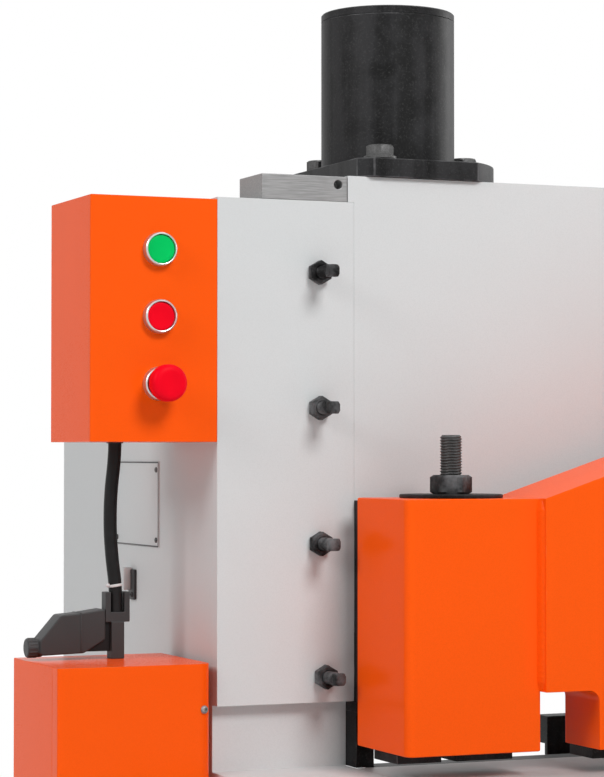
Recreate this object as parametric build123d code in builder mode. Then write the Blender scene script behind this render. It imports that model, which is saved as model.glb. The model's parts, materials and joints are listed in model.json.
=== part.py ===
from build123d import *
import math
import os

# Hydraulic guillotine shear for sheet metal, in millimetres.
# X runs along the blades, Y from the operator to the back, Z up from the floor.
# The origin is on the floor, in the middle of the four anchor holes.

# Driving dimensions: the frame
blade_length = 1290.0
blade_end_gap = 20.0        # blade's end to the column
column_width = 130.0        # one column, side plate included
side_plate = 30.0           # thickness of a side plate
frame_depth = 445.0         # guide face to the back edge of the side plates
table_height = 820.0
column_rise = 510.0         # column top above the table
leg_reach = 190.0           # front of the legs ahead of the guide face
table_reach = 300.0         # front of the table ahead of the guide face
foot_width = 150.0
foot_plate = 20.0
foot_lip = 20.0             # foot plate beyond the legs, front and back
anchor_inset = 55.0         # anchor hole from the end of a foot
anchor_hole = 22.0
anchor_side = 30.0          # anchor hole from the outer edge of a foot
wing_plate = 30.0           # painted shelf beside the table
arm_nose = 100.0            # height of the side plate's nose under the table
arm_root = 220.0            # where the nose meets the leg, under the table
top_cut = (110.0, 150.0)    # sloped upper rear corner of the side plates

# Driving dimensions: guides of the blade beam
guide_plate = 12.5          # thickness of the plate that carries the gib screws
guide_drop = 451.0          # height of that plate
guide_lap = 2.5             # how far it stands over the column's inner face
column_wall = 20.0
gib_thick = 12.0
gib_width = 60.0
slide_clearance = 0.1
shoe_thick = 30.0
rear_guide = 20.0
gib_screw = 12.0
gib_inset = 97.0            # gib strip's middle from the outer face of the side plate
gib_screws_at = [           # from the outer face, and below the column top
    (97.0, 65.0),
    (97.5, 186.8),
    (98.0, 308.6),
    (103.0, 428.0),
]
gib_screw_out = 37.0        # how far a screw stands out of the guide face
gib_nut_across = 19.0
gib_nut_thick = 10.0
screw_clearance = 0.1
cap_width = 83.5            # bare steel cap over the guide slot
cap_depth = 55.0
cap_thick = 23.0
cap_inset = 42.5
cap_screw = (8.0, 12.0)     # diameter and depth of the cap's screw hole
cap_screw_inset = 9.0
cap_screw_rise = 15.5
gib_end_gap = 5.0
square_end = (11.0, 8.0)    # across and length of a gib screw's driving end
edge_break = 3.0

# Driving dimensions: the crosshead and its two cylinders
front_plate_thick = 13.0    # its face is flush with the guide plates
front_plate_height = 403.0
crown_thick = 24.0
crown_depth = 167.0
crown_cap_gap = 0.5         # between the crown plate and the guide caps
stiffener_thick = 20.0
stiffener_height = 150.0
cylinder_inset = 203.5      # cylinder axis from the outer face of the side plate
cylinder_back = 80.0        # cylinder axis behind the guide face
tube_outer = 126.0
tube_bore = 90.0
stroke = 78.0
piston_thick = 30.0
piston_floor_gap = 6.0      # under the piston at the end of its stroke
piston_roof_gap = 12.5      # over the piston at rest
cylinder_cap = 7.0
cap_spigot = 12.0
cap_edge = 1.0
flange_dia = 200.0
flange_thick = 17.5
flange_front = 85.0         # cylinder axis to the flat at the front
flange_side = 66.0          # cylinder axis to the flat beside the guide cap
flange_bolts_each = 3
flange_bolt_circle = 80.0   # radius
flange_bolt = 16.0
flange_bolt_across = 24.0
flange_bolt_head = 10.0
flange_bolt_bite = 20.0     # thread length under the flange
flange_washer = 3.0
flange_washer_dia = 30.0
gland_outer = 68.0
port_boss = 26.0
port_bore = 14.0
port_ends = (25.0, 22.0)    # oil ports from the lower and the upper end of a tube
port_proud = 10.0
rod_dia = 45.0
running_clearance = 0.05    # radial, rods and pistons

# Driving dimensions: blades, blade beam and bed
beam_thick = 29.0
beam_top_gap = 30.0         # under the crown plate
beam_side_gap = 4.0
shear_plane = 15.0          # cutting plane behind the guide face
blade_gap = 0.1
open_left = 70.0            # upper blade above the table, left end
open_right = 30.0
upper_blade_height = 70.0
upper_blade_thick = 16.0
blade_proud = 8.0           # blade below the beam's edge
beam_behind_blade = 1.0     # beam's front face behind the cutting plane
beam_rib = 20.0
beam_rib_depth = 60.0
beam_rib_drop = 40.0        # upper rib under the beam's top
rod_block_width = 100.0
rod_block_depth = 70.0
rod_block_height = 100.0
rod_block_drop = 100.0      # top of the rod block under the beam's top
rod_seat = 70.0             # depth of the rod in its block
shoe_width = 120.0
shoe_upper = 75.0
shoe_lower = 100.0
shoe_overlap = 31.0         # part of a shoe behind the beam
shoe_lift = 40.0            # lower shoe above the cutting edge
lower_blade_thick = 25.0
lower_blade_height = 65.0
table_thick = 40.0
bed_web = 50.0
unit_clearance = 18.0       # bed's web above the motor
gusset_thick = 15.0
gusset_count = 5
gusset_inset = 25.0         # gusset behind the table's front edge
gusset_nose = 40.0
gusset_foot = 60.0          # gusset's lower end above the web's lower edge
side_stop_width = 15.0
side_stop_front = 10.0      # ahead of the guide face
side_stop_gap = 1.0         # to the cutting plane
side_stop_height = 120.0    # of the stop proper
side_rail_height = 240.0    # of its thin rail along the hold-down
side_foot_height = 50.0     # of its foot, under the guide plate and against the column

# Driving dimensions: the hold-down
hold_down_gap = 22.0        # over the table at rest
box_width = 129.0
box_depth = 105.0
box_height = 221.0
box_wall = 12.0
box_inset = 124.0           # box from the outer face of the side plate
box_front = 130.0           # ahead of the guide face
box_round = 8.0
beam_front = 140.0
arm_depth = 94.0            # depth of the hold-down beam's top flange
arm_wall = 12.0
arm_slope = 18.0            # degrees
arm_rise = 110.0
foot_bar_depth = 63.0
foot_bar_height = 60.0
notch_width = 61.0
notch_height = 52.0
notch_round = 10.0
notch_count = 4             # whole notches, besides one at each end
end_notch = 53.0
pad_thick = 9.9             # steel pads under the hold-down
pad_seat = 0.1
pad_inset = 4.0             # pads from the feet's ends
box_pad_run = (38.0, 48.0)  # behind the box's front face, and depth
beam_pad_run = (20.0, 42.0)  # behind the beam's front face, and depth
box_pads = [(8.0, 43.0), (65.0, 56.0)]  # from the box's outer side, and length
stud_dia = 20.0
stud_inset = 193.0
stud_front = 75.0
stud_top = 55.7             # above the box
stud_nut_across = 33.0
stud_nut_thick = 16.9
stud_washer_dia = 92.0
stud_washer_thick = 3.4
clamp_width = 76.0
clamp_height = 48.0
clamp_front = 113.0         # front of the clamp cylinder ahead of the guide face
clamp_round = 25.0
clamp_lift = 135.0          # clamp cylinder above the table
spring_outer = 46.0
spring_inner = 22.0
stud_point = 2.0
loose_clearance = 0.3

# Driving dimensions: the electrics on the left
panel_width = 118.0
panel_depth = 115.0
panel_height = 215.5
panel_top_drop = 2.0        # under the column top
sheet = 2.0
button_inset = 55.0         # button axis from the side plate
button_top_drop = 46.5      # first button under the panel's top
button_pitch = 59.0
button_count = 3
bezel_dia = 30.0
bezel_proud = 8.2
bezel_hole = 22.0
bezel_inside = 14.0         # threaded body behind the panel's face
bezel_floor = 0.5           # bottom of the ring's recess above the panel's face
bezel_rim = (1.2, 2.0)      # chamfer of the ring's outer edge
plunger_dia = 16.0
plunger_pocket = 10.0
button_dia = 25.0
button_sunk = 1.7           # cap's edge below the ring's face
button_travel = 4.0
button_crown = 0.4
button_rim = (1.0, 0.6)     # chamfer of a cap's edge
stop_dia = 32.5
stop_proud = 32.0
stop_head_thick = 14.0
stop_stem_dia = 14.0
stop_collar_dia = 22.0
stop_roof = 6.0             # head above the stem's end
stop_skirt = 2.0            # chamfer behind the head
stop_dome = [(2.0, 3.0), (7.0, 0.8)]  # head's edge: in from the rim, down from the top
stop_travel = 5.0
contact_width = 30.0
contact_height = 40.0
contact_depth = 42.0
cabinet_width = 142.0
cabinet_depth = 131.5
cabinet_height = 400.0
cabinet_rise = 98.0         # cabinet top above the table
cabinet_stand_off = 8.0
cabinet_front = 10.0        # ahead of the guide face
cabinet_round = 12.0
cover_depth = 16.0
stand_off_dia = 18.0
stand_off_pitch = (60.0, 220.0)
stand_off_drop = 50.0       # middle of the stand-offs under the cabinet's middle
transformer = (80.0, 70.0, 65.0)
transformer_z = 80.0
contactor = (45.0, 80.0, 75.0)
contactor_pitch = 50.0
contactor_z = 210.0
terminal_row = (110.0, 40.0, 45.0)
terminal_z = 310.0
conduit_dia = 12.0
conduit_inset = 70.0        # conduit's upper end from the side plate
conduit_back = 75.0         # and behind the guide face
bend_share = 0.45           # part of a straight run that a bend takes up
gland_thread = 14.0
gland_flange = (15.0, 1.0)  # diameter and thickness, under the panel
gland_inside = 8.0
gland_nut = (20.0, 4.0)     # lock nut inside the panel: across flats and thickness
plug_inset = 67.5
plug_back = 79.0
plug_stem = (12.0, 14.0, 33.0)
plug_jaw_width = 5.2
plug_jaw_depth = 12.0
plug_saddle = 9.0           # thickness of the bridge under the jaws
plug_jaw_height = 18.0
conduit_straight = 22.0     # straight end of the conduit between the jaws
hood_depth = 24.0
hood_nose = 4.0             # rounding of the hood's low end
hood_outline = [            # away from the jaws, above the cabinet
    (0.0, 17.5),
    (0.0, 44.8),
    (23.0, 41.6),
    (41.5, 40.2),
    (60.9, 18.0),
    (60.9, 4.4),
    (20.0, 5.8),
]
hood_nut = (17.0, 10.0, 11.2)  # nut at the hood's low end: diameter, length, axis above the cabinet
hood_nut_seat = 4.0
conduit_bow = [             # sideways, backwards and down from the gland's lower face
    (0.0, 0.0, 0.0),
    (0.0, 0.0, -12.0),
    (-3.6, 0.8, -44.0),
    (-3.9, 2.0, -76.0),
    (-1.2, 3.2, -106.0),
]

# Driving dimensions: back gauge
gauge_length = 822.0
gauge_height = 38.0         # of the stop face
gauge_thick = 22.0
gauge_lip = (6.0, 11.0)     # thickness of the stop face, and its drop under the bar
gauge_rise = 26.0           # top of the gauge bar over the table
gauge_back = 100.0          # stop face behind the guide face
gauge_rod = 25.0
gauge_rod_length = 470.0
gauge_rod_spread = 600.0
gauge_rod_drop = 85.0       # rod axis under the table
carriage_width = 60.0
carriage_depth = 72.0
carriage_drop = 30.0        # block above and below the rod's axis
upright_thick = 20.0
upright_rise = 10.0         # upright above the table
collar_dia = 40.0
collar_thick = 12.0
knob_dia = 50.0
knob_thick = 20.0
knob_lobe = 9.0
knob_lobes = 5
knob_gap = 4.0
knob_screw = 12.0

# Driving dimensions: hydraulic unit under the bed
tie_width = 50.0
tie_height = 60.0
tie_lift = 60.0
tie_wall = 4.0
tie_spread = 170.0
tank_depth = 300.0
tank_height = 180.0
tank_wall = 4.0
tank_front = 100.0          # ahead of the guide face
lid_thick = 6.0
lid_lip = 10.0
motor_dia = 150.0
motor_length = 240.0
motor_fins = 24
fin_depth = 7.0
fin_gap = 9.0
shield_thick = 16.0
motor_inset = 130.0         # rear end of the motor from the tank's end
motor_lift = 6.0            # motor's housing above the lid
motor_foot = (40.0, 120.0, 26.0)
motor_foot_pitch = 140.0
terminal_box = (90.0, 70.0, 30.0)
fan_cover_length = 56.0
air_slot = (34.0, 8.0)
air_slot_circle = 45.0
air_slot_count = 16
fan_dia = 130.0
fan_hub = 44.0
fan_width = 24.0
fan_blade = 5.0
fan_blades = 7
shaft_dia = 24.0
shaft_in_pump = 20.0
coupling_dia = 60.0
coupling_gap = 8.0
bell_length = 80.0
bell_dia = 120.0
bell_wall = 12.0
pump_dia = 90.0
pump_length = 95.0
pump_flange = 12.0
pump_port = (57.0, 22.5)    # behind the bell housing, and depth
valve_gap = 40.0            # valve block to the pump
valve_inset = 15.0          # valve block from the tank's end
valve_block_size = (100.0, 90.0, 70.0)
valve_port_pitch = 50.0
valve_port_depth = 25.0
valve_body = (60.0, 60.0, 46.0)
coil = (40.0, 80.0)         # diameter, and reach to each side of the valve
filler_dia = 60.0
filler_height = 36.0
filler_neck = (40.0, 24.0)
filler_inset = 40.0         # filler from the tank's end
filler_front = 100.0        # ahead of the tank's middle

# Driving dimensions: chute behind the bed
chute_sheet = 3.0
chute_top_drop = 155.0      # upper bend of the chute under the table
chute_lip = 30.0
chute_run = 450.0
chute_fall = 235.0

# Worked-out places
cut_width = blade_length + 2 * blade_end_gap
inner_x = cut_width / 2
outer_x = inner_x + column_width
plate_in_x = outer_x - side_plate
foot_length = leg_reach + frame_depth + 2 * foot_lip
anchor_span_y = foot_length - 2 * anchor_inset
guide_y = leg_reach + foot_lip - foot_length / 2
column_y = guide_y + guide_plate
column_top = table_height + column_rise
table_y = guide_y - table_reach
leg_y = guide_y - leg_reach
rear_y = guide_y + frame_depth
gib_y = guide_y + shear_plane + beam_behind_blade + beam_thick - slide_clearance
shoe_y = gib_y + slide_clearance
rear_guide_y = shoe_y + shoe_thick + slide_clearance
crown_y = guide_y + front_plate_thick
crown_top = column_top + crown_thick
cylinder_x = outer_x - cylinder_inset
cylinder_y = guide_y + cylinder_back
flange_top = crown_top + flange_thick
tube_height = stroke + piston_thick + piston_floor_gap + piston_roof_gap + cap_spigot
tube_top = flange_top + tube_height
cut_y = guide_y + shear_plane
beam_y = cut_y + beam_behind_blade
beam_top = column_top - beam_top_gap
beam_x = inner_x - beam_side_gap
rake = math.atan2(open_left - open_right, blade_length)
box_x = outer_x - box_inset
box_bottom = table_height + hold_down_gap
box_top = box_bottom + box_height
pad_top = box_bottom - pad_seat
stud_x = outer_x - stud_inset
stud_y = guide_y - stud_front
clamp_z = table_height + clamp_lift
gib_x = outer_x - gib_inset
screw_places = [(inset - outer_x, column_top - drop) for inset, drop in gib_screws_at]
guide_in_x = inner_x - guide_lap
cap_x = outer_x - cap_inset - cap_width / 2
crown_half = cap_x - cap_width / 2 - crown_cap_gap
panel_top = column_top - panel_top_drop
button_x = -outer_x - button_inset
button_heights = [panel_top - button_top_drop - n * button_pitch for n in range(button_count)]
cabinet_top = table_height + cabinet_rise
cabinet_y = guide_y - cabinet_front
cabinet_x = -outer_x - cabinet_stand_off
gauge_z = table_height - gauge_rod_drop
gauge_y = guide_y + gauge_back
tie_top = tie_lift + tie_height
lid_z = tie_top + tank_height
lid_top = lid_z + lid_thick
motor_z = lid_top + motor_dia / 2 + motor_lift
tank_mid_y = guide_y - tank_front + tank_depth / 2
pump_reach = motor_inset + motor_length + bell_length + pump_length
tank_length = pump_reach + valve_gap + valve_block_size[0] + valve_inset
motor_x = -tank_length / 2 + motor_inset
valve_x = tank_length / 2 - valve_inset - valve_block_size[0] / 2
filler_place = (-tank_length / 2 + filler_inset, tank_mid_y - filler_front)
bolt_angles = [2 * math.pi * n / flange_bolts_each for n in range(flange_bolts_each)]
bolt_offsets = [
    (flange_bolt_circle * math.cos(angle), flange_bolt_circle * math.sin(angle)) for angle in bolt_angles
]
bolt_places = [
    (side * (cylinder_x - across), cylinder_y + back) for side in (-1, 1) for across, back in bolt_offsets
]

os.makedirs("parts", exist_ok=True)


def front_at(y):
    """A drawing plane seen from the operator's side, at depth y."""
    return Plane.XZ.offset(-y)


def side_at(x):
    """A drawing plane seen from the right, at x."""
    return Plane.YZ.offset(x)


def save(piece, name):
    piece.part.label = name
    export_step(piece.part, f"parts/{name}.step")


# Side frames: a thick side plate, the column's front wall, the shelf beside the table and a foot
with BuildPart() as left_side_frame:
    with BuildSketch(side_at(-outer_x)):
        with BuildLine():
            Polyline(
                (leg_y, foot_plate),
                (leg_y, table_height - arm_root),
                (table_y, table_height - arm_nose),
                (table_y, table_height),
                (column_y, table_height),
                (column_y, column_top),
                (rear_y - top_cut[0], column_top),
                (rear_y, column_top - top_cut[1]),
                (rear_y, foot_plate),
                close=True,
            )
        make_face()
    extrude(amount=side_plate)
    with BuildSketch(Plane.XY.offset(table_height)):
        with Locations((-(plate_in_x + inner_x) / 2, column_y)):
            Rectangle(plate_in_x - inner_x, column_wall, align=(Align.CENTER, Align.MIN))
    extrude(amount=column_rise)
    with BuildSketch(Plane.XY.offset(table_height - wing_plate)):
        with Locations((-(plate_in_x + inner_x) / 2, table_y)):
            wing_depth = column_y + column_wall - table_y
            Rectangle(plate_in_x - inner_x, wing_depth, align=(Align.CENTER, Align.MIN))
    extrude(amount=wing_plate)
    with BuildSketch(Plane.XY):
        with Locations((-outer_x + side_plate / 2, 0)):
            Rectangle(foot_width, foot_length)
    extrude(amount=foot_plate)
    with Locations((-outer_x + side_plate / 2, 0, foot_plate)):
        with GridLocations(0, anchor_span_y, 1, 2):
            with Locations((-foot_width / 2 + anchor_side, 0, 0)):
                Hole(anchor_hole / 2)
    with BuildSketch(front_at(column_y)):
        with Locations(*screw_places):
            Circle(gib_screw / 2 + screw_clearance)
    extrude(amount=-column_wall, mode=Mode.SUBTRACT)
save(left_side_frame, "left_side_frame")

with BuildPart() as right_side_frame:
    mirror(left_side_frame.part, about=Plane.YZ)
save(right_side_frame, "right_side_frame")

# Guide plates on the columns' fronts, with the holes of the gib screws
with BuildPart() as guide_plates:
    with BuildSketch(front_at(column_y)):
        with Locations((-outer_x, column_top)):
            Rectangle(outer_x - guide_in_x, guide_drop, align=(Align.MIN, Align.MAX))
        with Locations(*screw_places):
            Circle(gib_screw / 2 + screw_clearance, mode=Mode.SUBTRACT)
    extrude(amount=guide_plate)
    mirror(about=Plane.YZ)
save(guide_plates, "guide_plates")

# Bare steel caps over the guide slots, each with a sunk screw hole
with BuildPart() as guide_caps:
    with BuildSketch(Plane.XY.offset(column_top)):
        with Locations((-cap_x, guide_y)):
            Rectangle(cap_width, cap_depth, align=(Align.CENTER, Align.MIN))
    extrude(amount=cap_thick)
    with BuildSketch(front_at(guide_y)):
        with Locations((-cap_x + cap_width / 2 - cap_screw_inset, column_top + cap_screw_rise)):
            Circle(cap_screw[0] / 2)
    extrude(amount=-cap_screw[1], mode=Mode.SUBTRACT)
    mirror(about=Plane.YZ)
save(guide_caps, "guide_caps")

# Gib strips that the screws press against the beam's shoes
with BuildPart() as gib_strips:
    with BuildSketch(front_at(gib_y)):
        with Locations((-gib_x, column_top - gib_end_gap)):
            Rectangle(gib_width, column_rise - 2 * gib_end_gap, align=(Align.CENTER, Align.MAX))
    extrude(amount=gib_thick)
    chamfer(gib_strips.edges().group_by(Axis.Z)[-1], edge_break)
    mirror(about=Plane.YZ)
save(gib_strips, "gib_strips")

# Gib screws: a threaded length with a square driving end
with BuildPart() as gib_screws:
    with BuildSketch(front_at(gib_y - gib_thick)):
        with Locations(*screw_places):
            Circle(gib_screw / 2)
    extrude(amount=gib_y - gib_thick - guide_y + gib_screw_out - square_end[1])
    with BuildSketch(front_at(guide_y - gib_screw_out + square_end[1])):
        with Locations(*screw_places):
            Rectangle(square_end[0], square_end[0])
    extrude(amount=square_end[1])
    mirror(about=Plane.YZ)
save(gib_screws, "gib_screws")

with BuildPart() as gib_nuts:
    with BuildSketch(front_at(guide_y)):
        with Locations(*screw_places):
            RegularPolygon(gib_nut_across / 2, 6, major_radius=False, rotation=30)
            Circle(gib_screw / 2 + screw_clearance, mode=Mode.SUBTRACT)
    extrude(amount=gib_nut_thick)
    mirror(about=Plane.YZ)
save(gib_nuts, "gib_nuts")

# Rear guides behind the beam's shoes
with BuildPart() as rear_guides:
    with BuildSketch(Plane.XY.offset(table_height)):
        with Locations((-(plate_in_x + inner_x) / 2, rear_guide_y)):
            Rectangle(plate_in_x - inner_x, rear_guide, align=(Align.CENTER, Align.MIN))
    extrude(amount=column_rise)
    mirror(about=Plane.YZ)
save(rear_guides, "rear_guides")

# Crosshead: front plate between the guide plates and caps, crown plate and rear stiffener
with BuildPart() as front_plate:
    with BuildSketch(front_at(guide_y)):
        with Locations((0, crown_top)):
            Rectangle(2 * crown_half, crown_thick, align=(Align.CENTER, Align.MAX))
            Rectangle(2 * guide_in_x, front_plate_height, align=(Align.CENTER, Align.MAX))
    extrude(amount=-front_plate_thick)
    with Locations(*[(x, y, crown_top) for x, y in bolt_places]):
        Hole(flange_bolt / 2 + screw_clearance, depth=flange_bolt_bite)
save(front_plate, "front_plate")

with BuildPart() as crown_plate:
    with BuildSketch(Plane.XY.offset(column_top)):
        with Locations((0, crown_y)):
            Rectangle(2 * crown_half, crown_depth, align=(Align.CENTER, Align.MIN))
        with Locations((-cylinder_x, cylinder_y), (cylinder_x, cylinder_y)):
            Circle(gland_outer / 2 + loose_clearance, mode=Mode.SUBTRACT)
    extrude(amount=crown_thick)
    with Locations(*[(x, y, crown_top) for x, y in bolt_places]):
        Hole(flange_bolt / 2 + screw_clearance, depth=flange_bolt_bite)
save(crown_plate, "crown_plate")

with BuildPart() as rear_stiffener:
    with BuildSketch(front_at(crown_y + crown_depth)):
        with Locations((0, column_top)):
            Rectangle(2 * plate_in_x, stiffener_height, align=(Align.CENTER, Align.MAX))
    extrude(amount=stiffener_thick)
save(rear_stiffener, "rear_stiffener")

# Cylinders: tube, round flange with two flats, gland under it and two oil ports behind
with BuildPart() as cylinders:
    with BuildSketch(Plane.XY.offset(crown_top)):
        with Locations((-cylinder_x, cylinder_y)):
            Circle(flange_dia / 2)
        with Locations((-cylinder_x - flange_side, cylinder_y - flange_front)):
            Rectangle(flange_dia, flange_dia, align=(Align.MIN, Align.MIN), mode=Mode.INTERSECT)
    extrude(amount=flange_thick)
    with BuildSketch(Plane.XY.offset(flange_top)):
        with Locations((-cylinder_x, cylinder_y)):
            Circle(tube_outer / 2)
    extrude(amount=tube_height)
    with BuildSketch(Plane.XY.offset(crown_top)):
        with Locations((-cylinder_x, cylinder_y)):
            Circle(gland_outer / 2)
    extrude(amount=-crown_thick)
    with BuildSketch(front_at(cylinder_y)):
        with Locations((-cylinder_x, flange_top + port_ends[0]), (-cylinder_x, tube_top - port_ends[1])):
            Circle(port_boss / 2)
    extrude(amount=-(tube_outer / 2 + port_proud))
    with BuildSketch(Plane.XY.offset(flange_top)):
        with Locations((-cylinder_x, cylinder_y)):
            Circle(tube_bore / 2)
    extrude(amount=tube_height, mode=Mode.SUBTRACT)
    with BuildSketch(front_at(cylinder_y)):
        with Locations((-cylinder_x, flange_top + port_ends[0]), (-cylinder_x, tube_top - port_ends[1])):
            Circle(port_bore / 2)
    extrude(amount=-(tube_outer / 2 + port_proud), mode=Mode.SUBTRACT)
    with Locations((-cylinder_x, cylinder_y, flange_top)):
        Hole(rod_dia / 2 + running_clearance)
    mirror(about=Plane.YZ)
    with Locations(*[(x, y, flange_top) for x, y in bolt_places]):
        Hole(flange_bolt / 2 + screw_clearance, depth=flange_thick)
save(cylinders, "cylinders")

# End caps with a spigot in the bore
with BuildPart() as cylinder_caps:
    with BuildSketch(Plane.XY.offset(tube_top)):
        with Locations((-cylinder_x, cylinder_y)):
            Circle(tube_outer / 2)
    extrude(amount=cylinder_cap)
    chamfer(cylinder_caps.edges().group_by(Axis.Z)[-1], cap_edge)
    with BuildSketch(Plane.XY.offset(tube_top)):
        with Locations((-cylinder_x, cylinder_y)):
            Circle(tube_bore / 2 - running_clearance)
    extrude(amount=-cap_spigot)
    mirror(about=Plane.YZ)
save(cylinder_caps, "cylinder_caps")

# Flange bolts with their washers
with BuildPart() as flange_bolts:
    with BuildSketch(Plane.XY.offset(flange_top)):
        with Locations(*bolt_places):
            Circle(flange_washer_dia / 2)
    extrude(amount=flange_washer)
    with BuildSketch(Plane.XY.offset(flange_top + flange_washer)):
        with Locations(*bolt_places):
            RegularPolygon(flange_bolt_across / 2, 6, major_radius=False)
    extrude(amount=flange_bolt_head)
    with BuildSketch(Plane.XY.offset(flange_top)):
        with Locations(*bolt_places):
            Circle(flange_bolt / 2)
    extrude(amount=-(flange_thick + flange_bolt_bite))
save(flange_bolts, "flange_bolts")

# Piston rods: a piston at the top and a plain rod down to its block on the blade beam
piston_top = tube_top - cap_spigot - piston_roof_gap
rod_block_top = beam_top - rod_block_drop
with BuildPart() as piston_rods:
    with BuildSketch(Plane.XY.offset(rod_block_top - rod_seat)):
        with Locations((-cylinder_x, cylinder_y)):
            Circle(rod_dia / 2)
    extrude(amount=piston_top - rod_block_top + rod_seat)
    with BuildSketch(Plane.XY.offset(piston_top)):
        with Locations((-cylinder_x, cylinder_y)):
            Circle(tube_bore / 2 - running_clearance)
    extrude(amount=-piston_thick)
    mirror(about=Plane.YZ)
save(piston_rods, "piston_rods")


def edge_height(x, above=0.0):
    """Height of the raked cutting edge of the upper blade at x, plus a distance up the blade."""
    middle = table_height + (open_left + open_right) / 2
    return middle - x * math.tan(rake) + above


# Blade beam: a plate with a raked seat for the blade, two ribs and two rod blocks behind
with BuildPart() as blade_beam:
    with BuildSketch(front_at(beam_y)):
        with BuildLine():
            Polyline(
                (-beam_x, edge_height(-beam_x, blade_proud)),
                (beam_x, edge_height(beam_x, blade_proud)),
                (beam_x, beam_top),
                (-beam_x, beam_top),
                close=True,
            )
        make_face()
    extrude(amount=-beam_thick)
    with BuildSketch(front_at(beam_y)):
        with BuildLine():
            Polyline(
                (-beam_x, edge_height(-beam_x)),
                (beam_x, edge_height(beam_x)),
                (beam_x, edge_height(beam_x, upper_blade_height)),
                (-beam_x, edge_height(-beam_x, upper_blade_height)),
                close=True,
            )
        make_face()
    extrude(amount=-(upper_blade_thick - beam_behind_blade), mode=Mode.SUBTRACT)
    with BuildSketch(front_at(beam_y + beam_thick)):
        with Locations((-cylinder_x, rod_block_top), (cylinder_x, rod_block_top)):
            Rectangle(rod_block_width, rod_block_height, align=(Align.CENTER, Align.MAX))
    extrude(amount=-rod_block_depth)
    rib_half = cylinder_x - rod_block_width / 2
    with BuildSketch(front_at(beam_y + beam_thick)):
        with Locations((0, beam_top - beam_rib_drop), (0, rod_block_top - rod_block_height)):
            Rectangle(2 * rib_half, beam_rib)
    extrude(amount=-beam_rib_depth)
    with Locations((-cylinder_x, cylinder_y, rod_block_top), (cylinder_x, cylinder_y, rod_block_top)):
        Hole(rod_dia / 2 + screw_clearance, depth=rod_seat)
save(blade_beam, "blade_beam")

with BuildPart() as upper_blade:
    with BuildSketch(front_at(cut_y)):
        with BuildLine():
            Polyline(
                (-blade_length / 2, edge_height(-blade_length / 2)),
                (blade_length / 2, edge_height(blade_length / 2)),
                (blade_length / 2, edge_height(blade_length / 2, upper_blade_height)),
                (-blade_length / 2, edge_height(-blade_length / 2, upper_blade_height)),
                close=True,
            )
        make_face()
    extrude(amount=-upper_blade_thick)
save(upper_blade, "upper_blade")

# Guide shoes bolted behind the beam's ends, an upper and a lower one on each side
shoe_x = beam_x - shoe_overlap + shoe_width / 2
with BuildPart() as guide_shoes:
    with BuildSketch(front_at(shoe_y)):
        with Locations((-shoe_x, beam_top)):
            Rectangle(shoe_width, shoe_upper, align=(Align.CENTER, Align.MAX))
        with Locations((-shoe_x, edge_height(-beam_x, shoe_lift))):
            Rectangle(shoe_width, shoe_lower, align=(Align.CENTER, Align.MIN))
    extrude(amount=-shoe_thick)
    mirror(about=Plane.YZ)
save(guide_shoes, "guide_shoes")

# Bed: a deep web between the side plates, and gussets that carry the table in front of it
web_back_y = cut_y - blade_gap - lower_blade_thick
web_front_y = web_back_y - bed_web
bed_top = table_height - table_thick
bed_height = bed_top - motor_z - motor_dia / 2 - unit_clearance
with BuildPart() as bed_beam:
    with BuildSketch(front_at(web_back_y)):
        with Locations((0, bed_top)):
            Rectangle(2 * plate_in_x, bed_height, align=(Align.CENTER, Align.MAX))
    extrude(amount=bed_web)
save(bed_beam, "bed_beam")

gusset_pitch = cut_width / gusset_count
with BuildPart() as bed_gussets:
    for n in range(gusset_count):
        gusset_x = (n - (gusset_count - 1) / 2) * gusset_pitch
        with BuildSketch(side_at(gusset_x - gusset_thick / 2)):
            with BuildLine():
                Polyline(
                    (web_front_y, bed_top),
                    (table_y + gusset_inset, bed_top),
                    (table_y + gusset_inset, bed_top - gusset_nose),
                    (web_front_y, bed_top - bed_height + gusset_foot),
                    close=True,
                )
            make_face()
        extrude(amount=gusset_thick)
save(bed_gussets, "bed_gussets")

with BuildPart() as table_plate:
    with BuildSketch(Plane.XY.offset(bed_top)):
        with Locations((0, table_y)):
            Rectangle(cut_width, web_back_y - table_y, align=(Align.CENTER, Align.MIN))
    extrude(amount=table_thick)
    chamfer(table_plate.edges().filter_by(Axis.X).group_by(Axis.Y)[0], edge_break)
save(table_plate, "table_plate")

with BuildPart() as lower_blade:
    with BuildSketch(front_at(web_back_y)):
        with Locations((0, table_height)):
            Rectangle(blade_length, lower_blade_height, align=(Align.CENTER, Align.MAX))
    extrude(amount=-lower_blade_thick)
save(lower_blade, "lower_blade")

# Side stops that square the edge of the sheet, each with a thin rail up beside the hold-down
with BuildPart() as side_stops:
    with BuildSketch(side_at(-guide_in_x)):
        with Locations((guide_y - side_stop_front, table_height)):
            stop_depth = side_stop_front + shear_plane - side_stop_gap
            Rectangle(stop_depth, side_stop_height, align=(Align.MIN, Align.MIN))
            Rectangle(side_stop_front, side_rail_height, align=(Align.MIN, Align.MIN))
    extrude(amount=side_stop_width)
    with BuildSketch(side_at(-inner_x)):
        with Locations((guide_y - side_stop_front, table_height)):
            Rectangle(stop_depth, side_foot_height, align=(Align.MIN, Align.MIN))
    extrude(amount=guide_lap)
    mirror(about=Plane.YZ)
save(side_stops, "side_stops")

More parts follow.
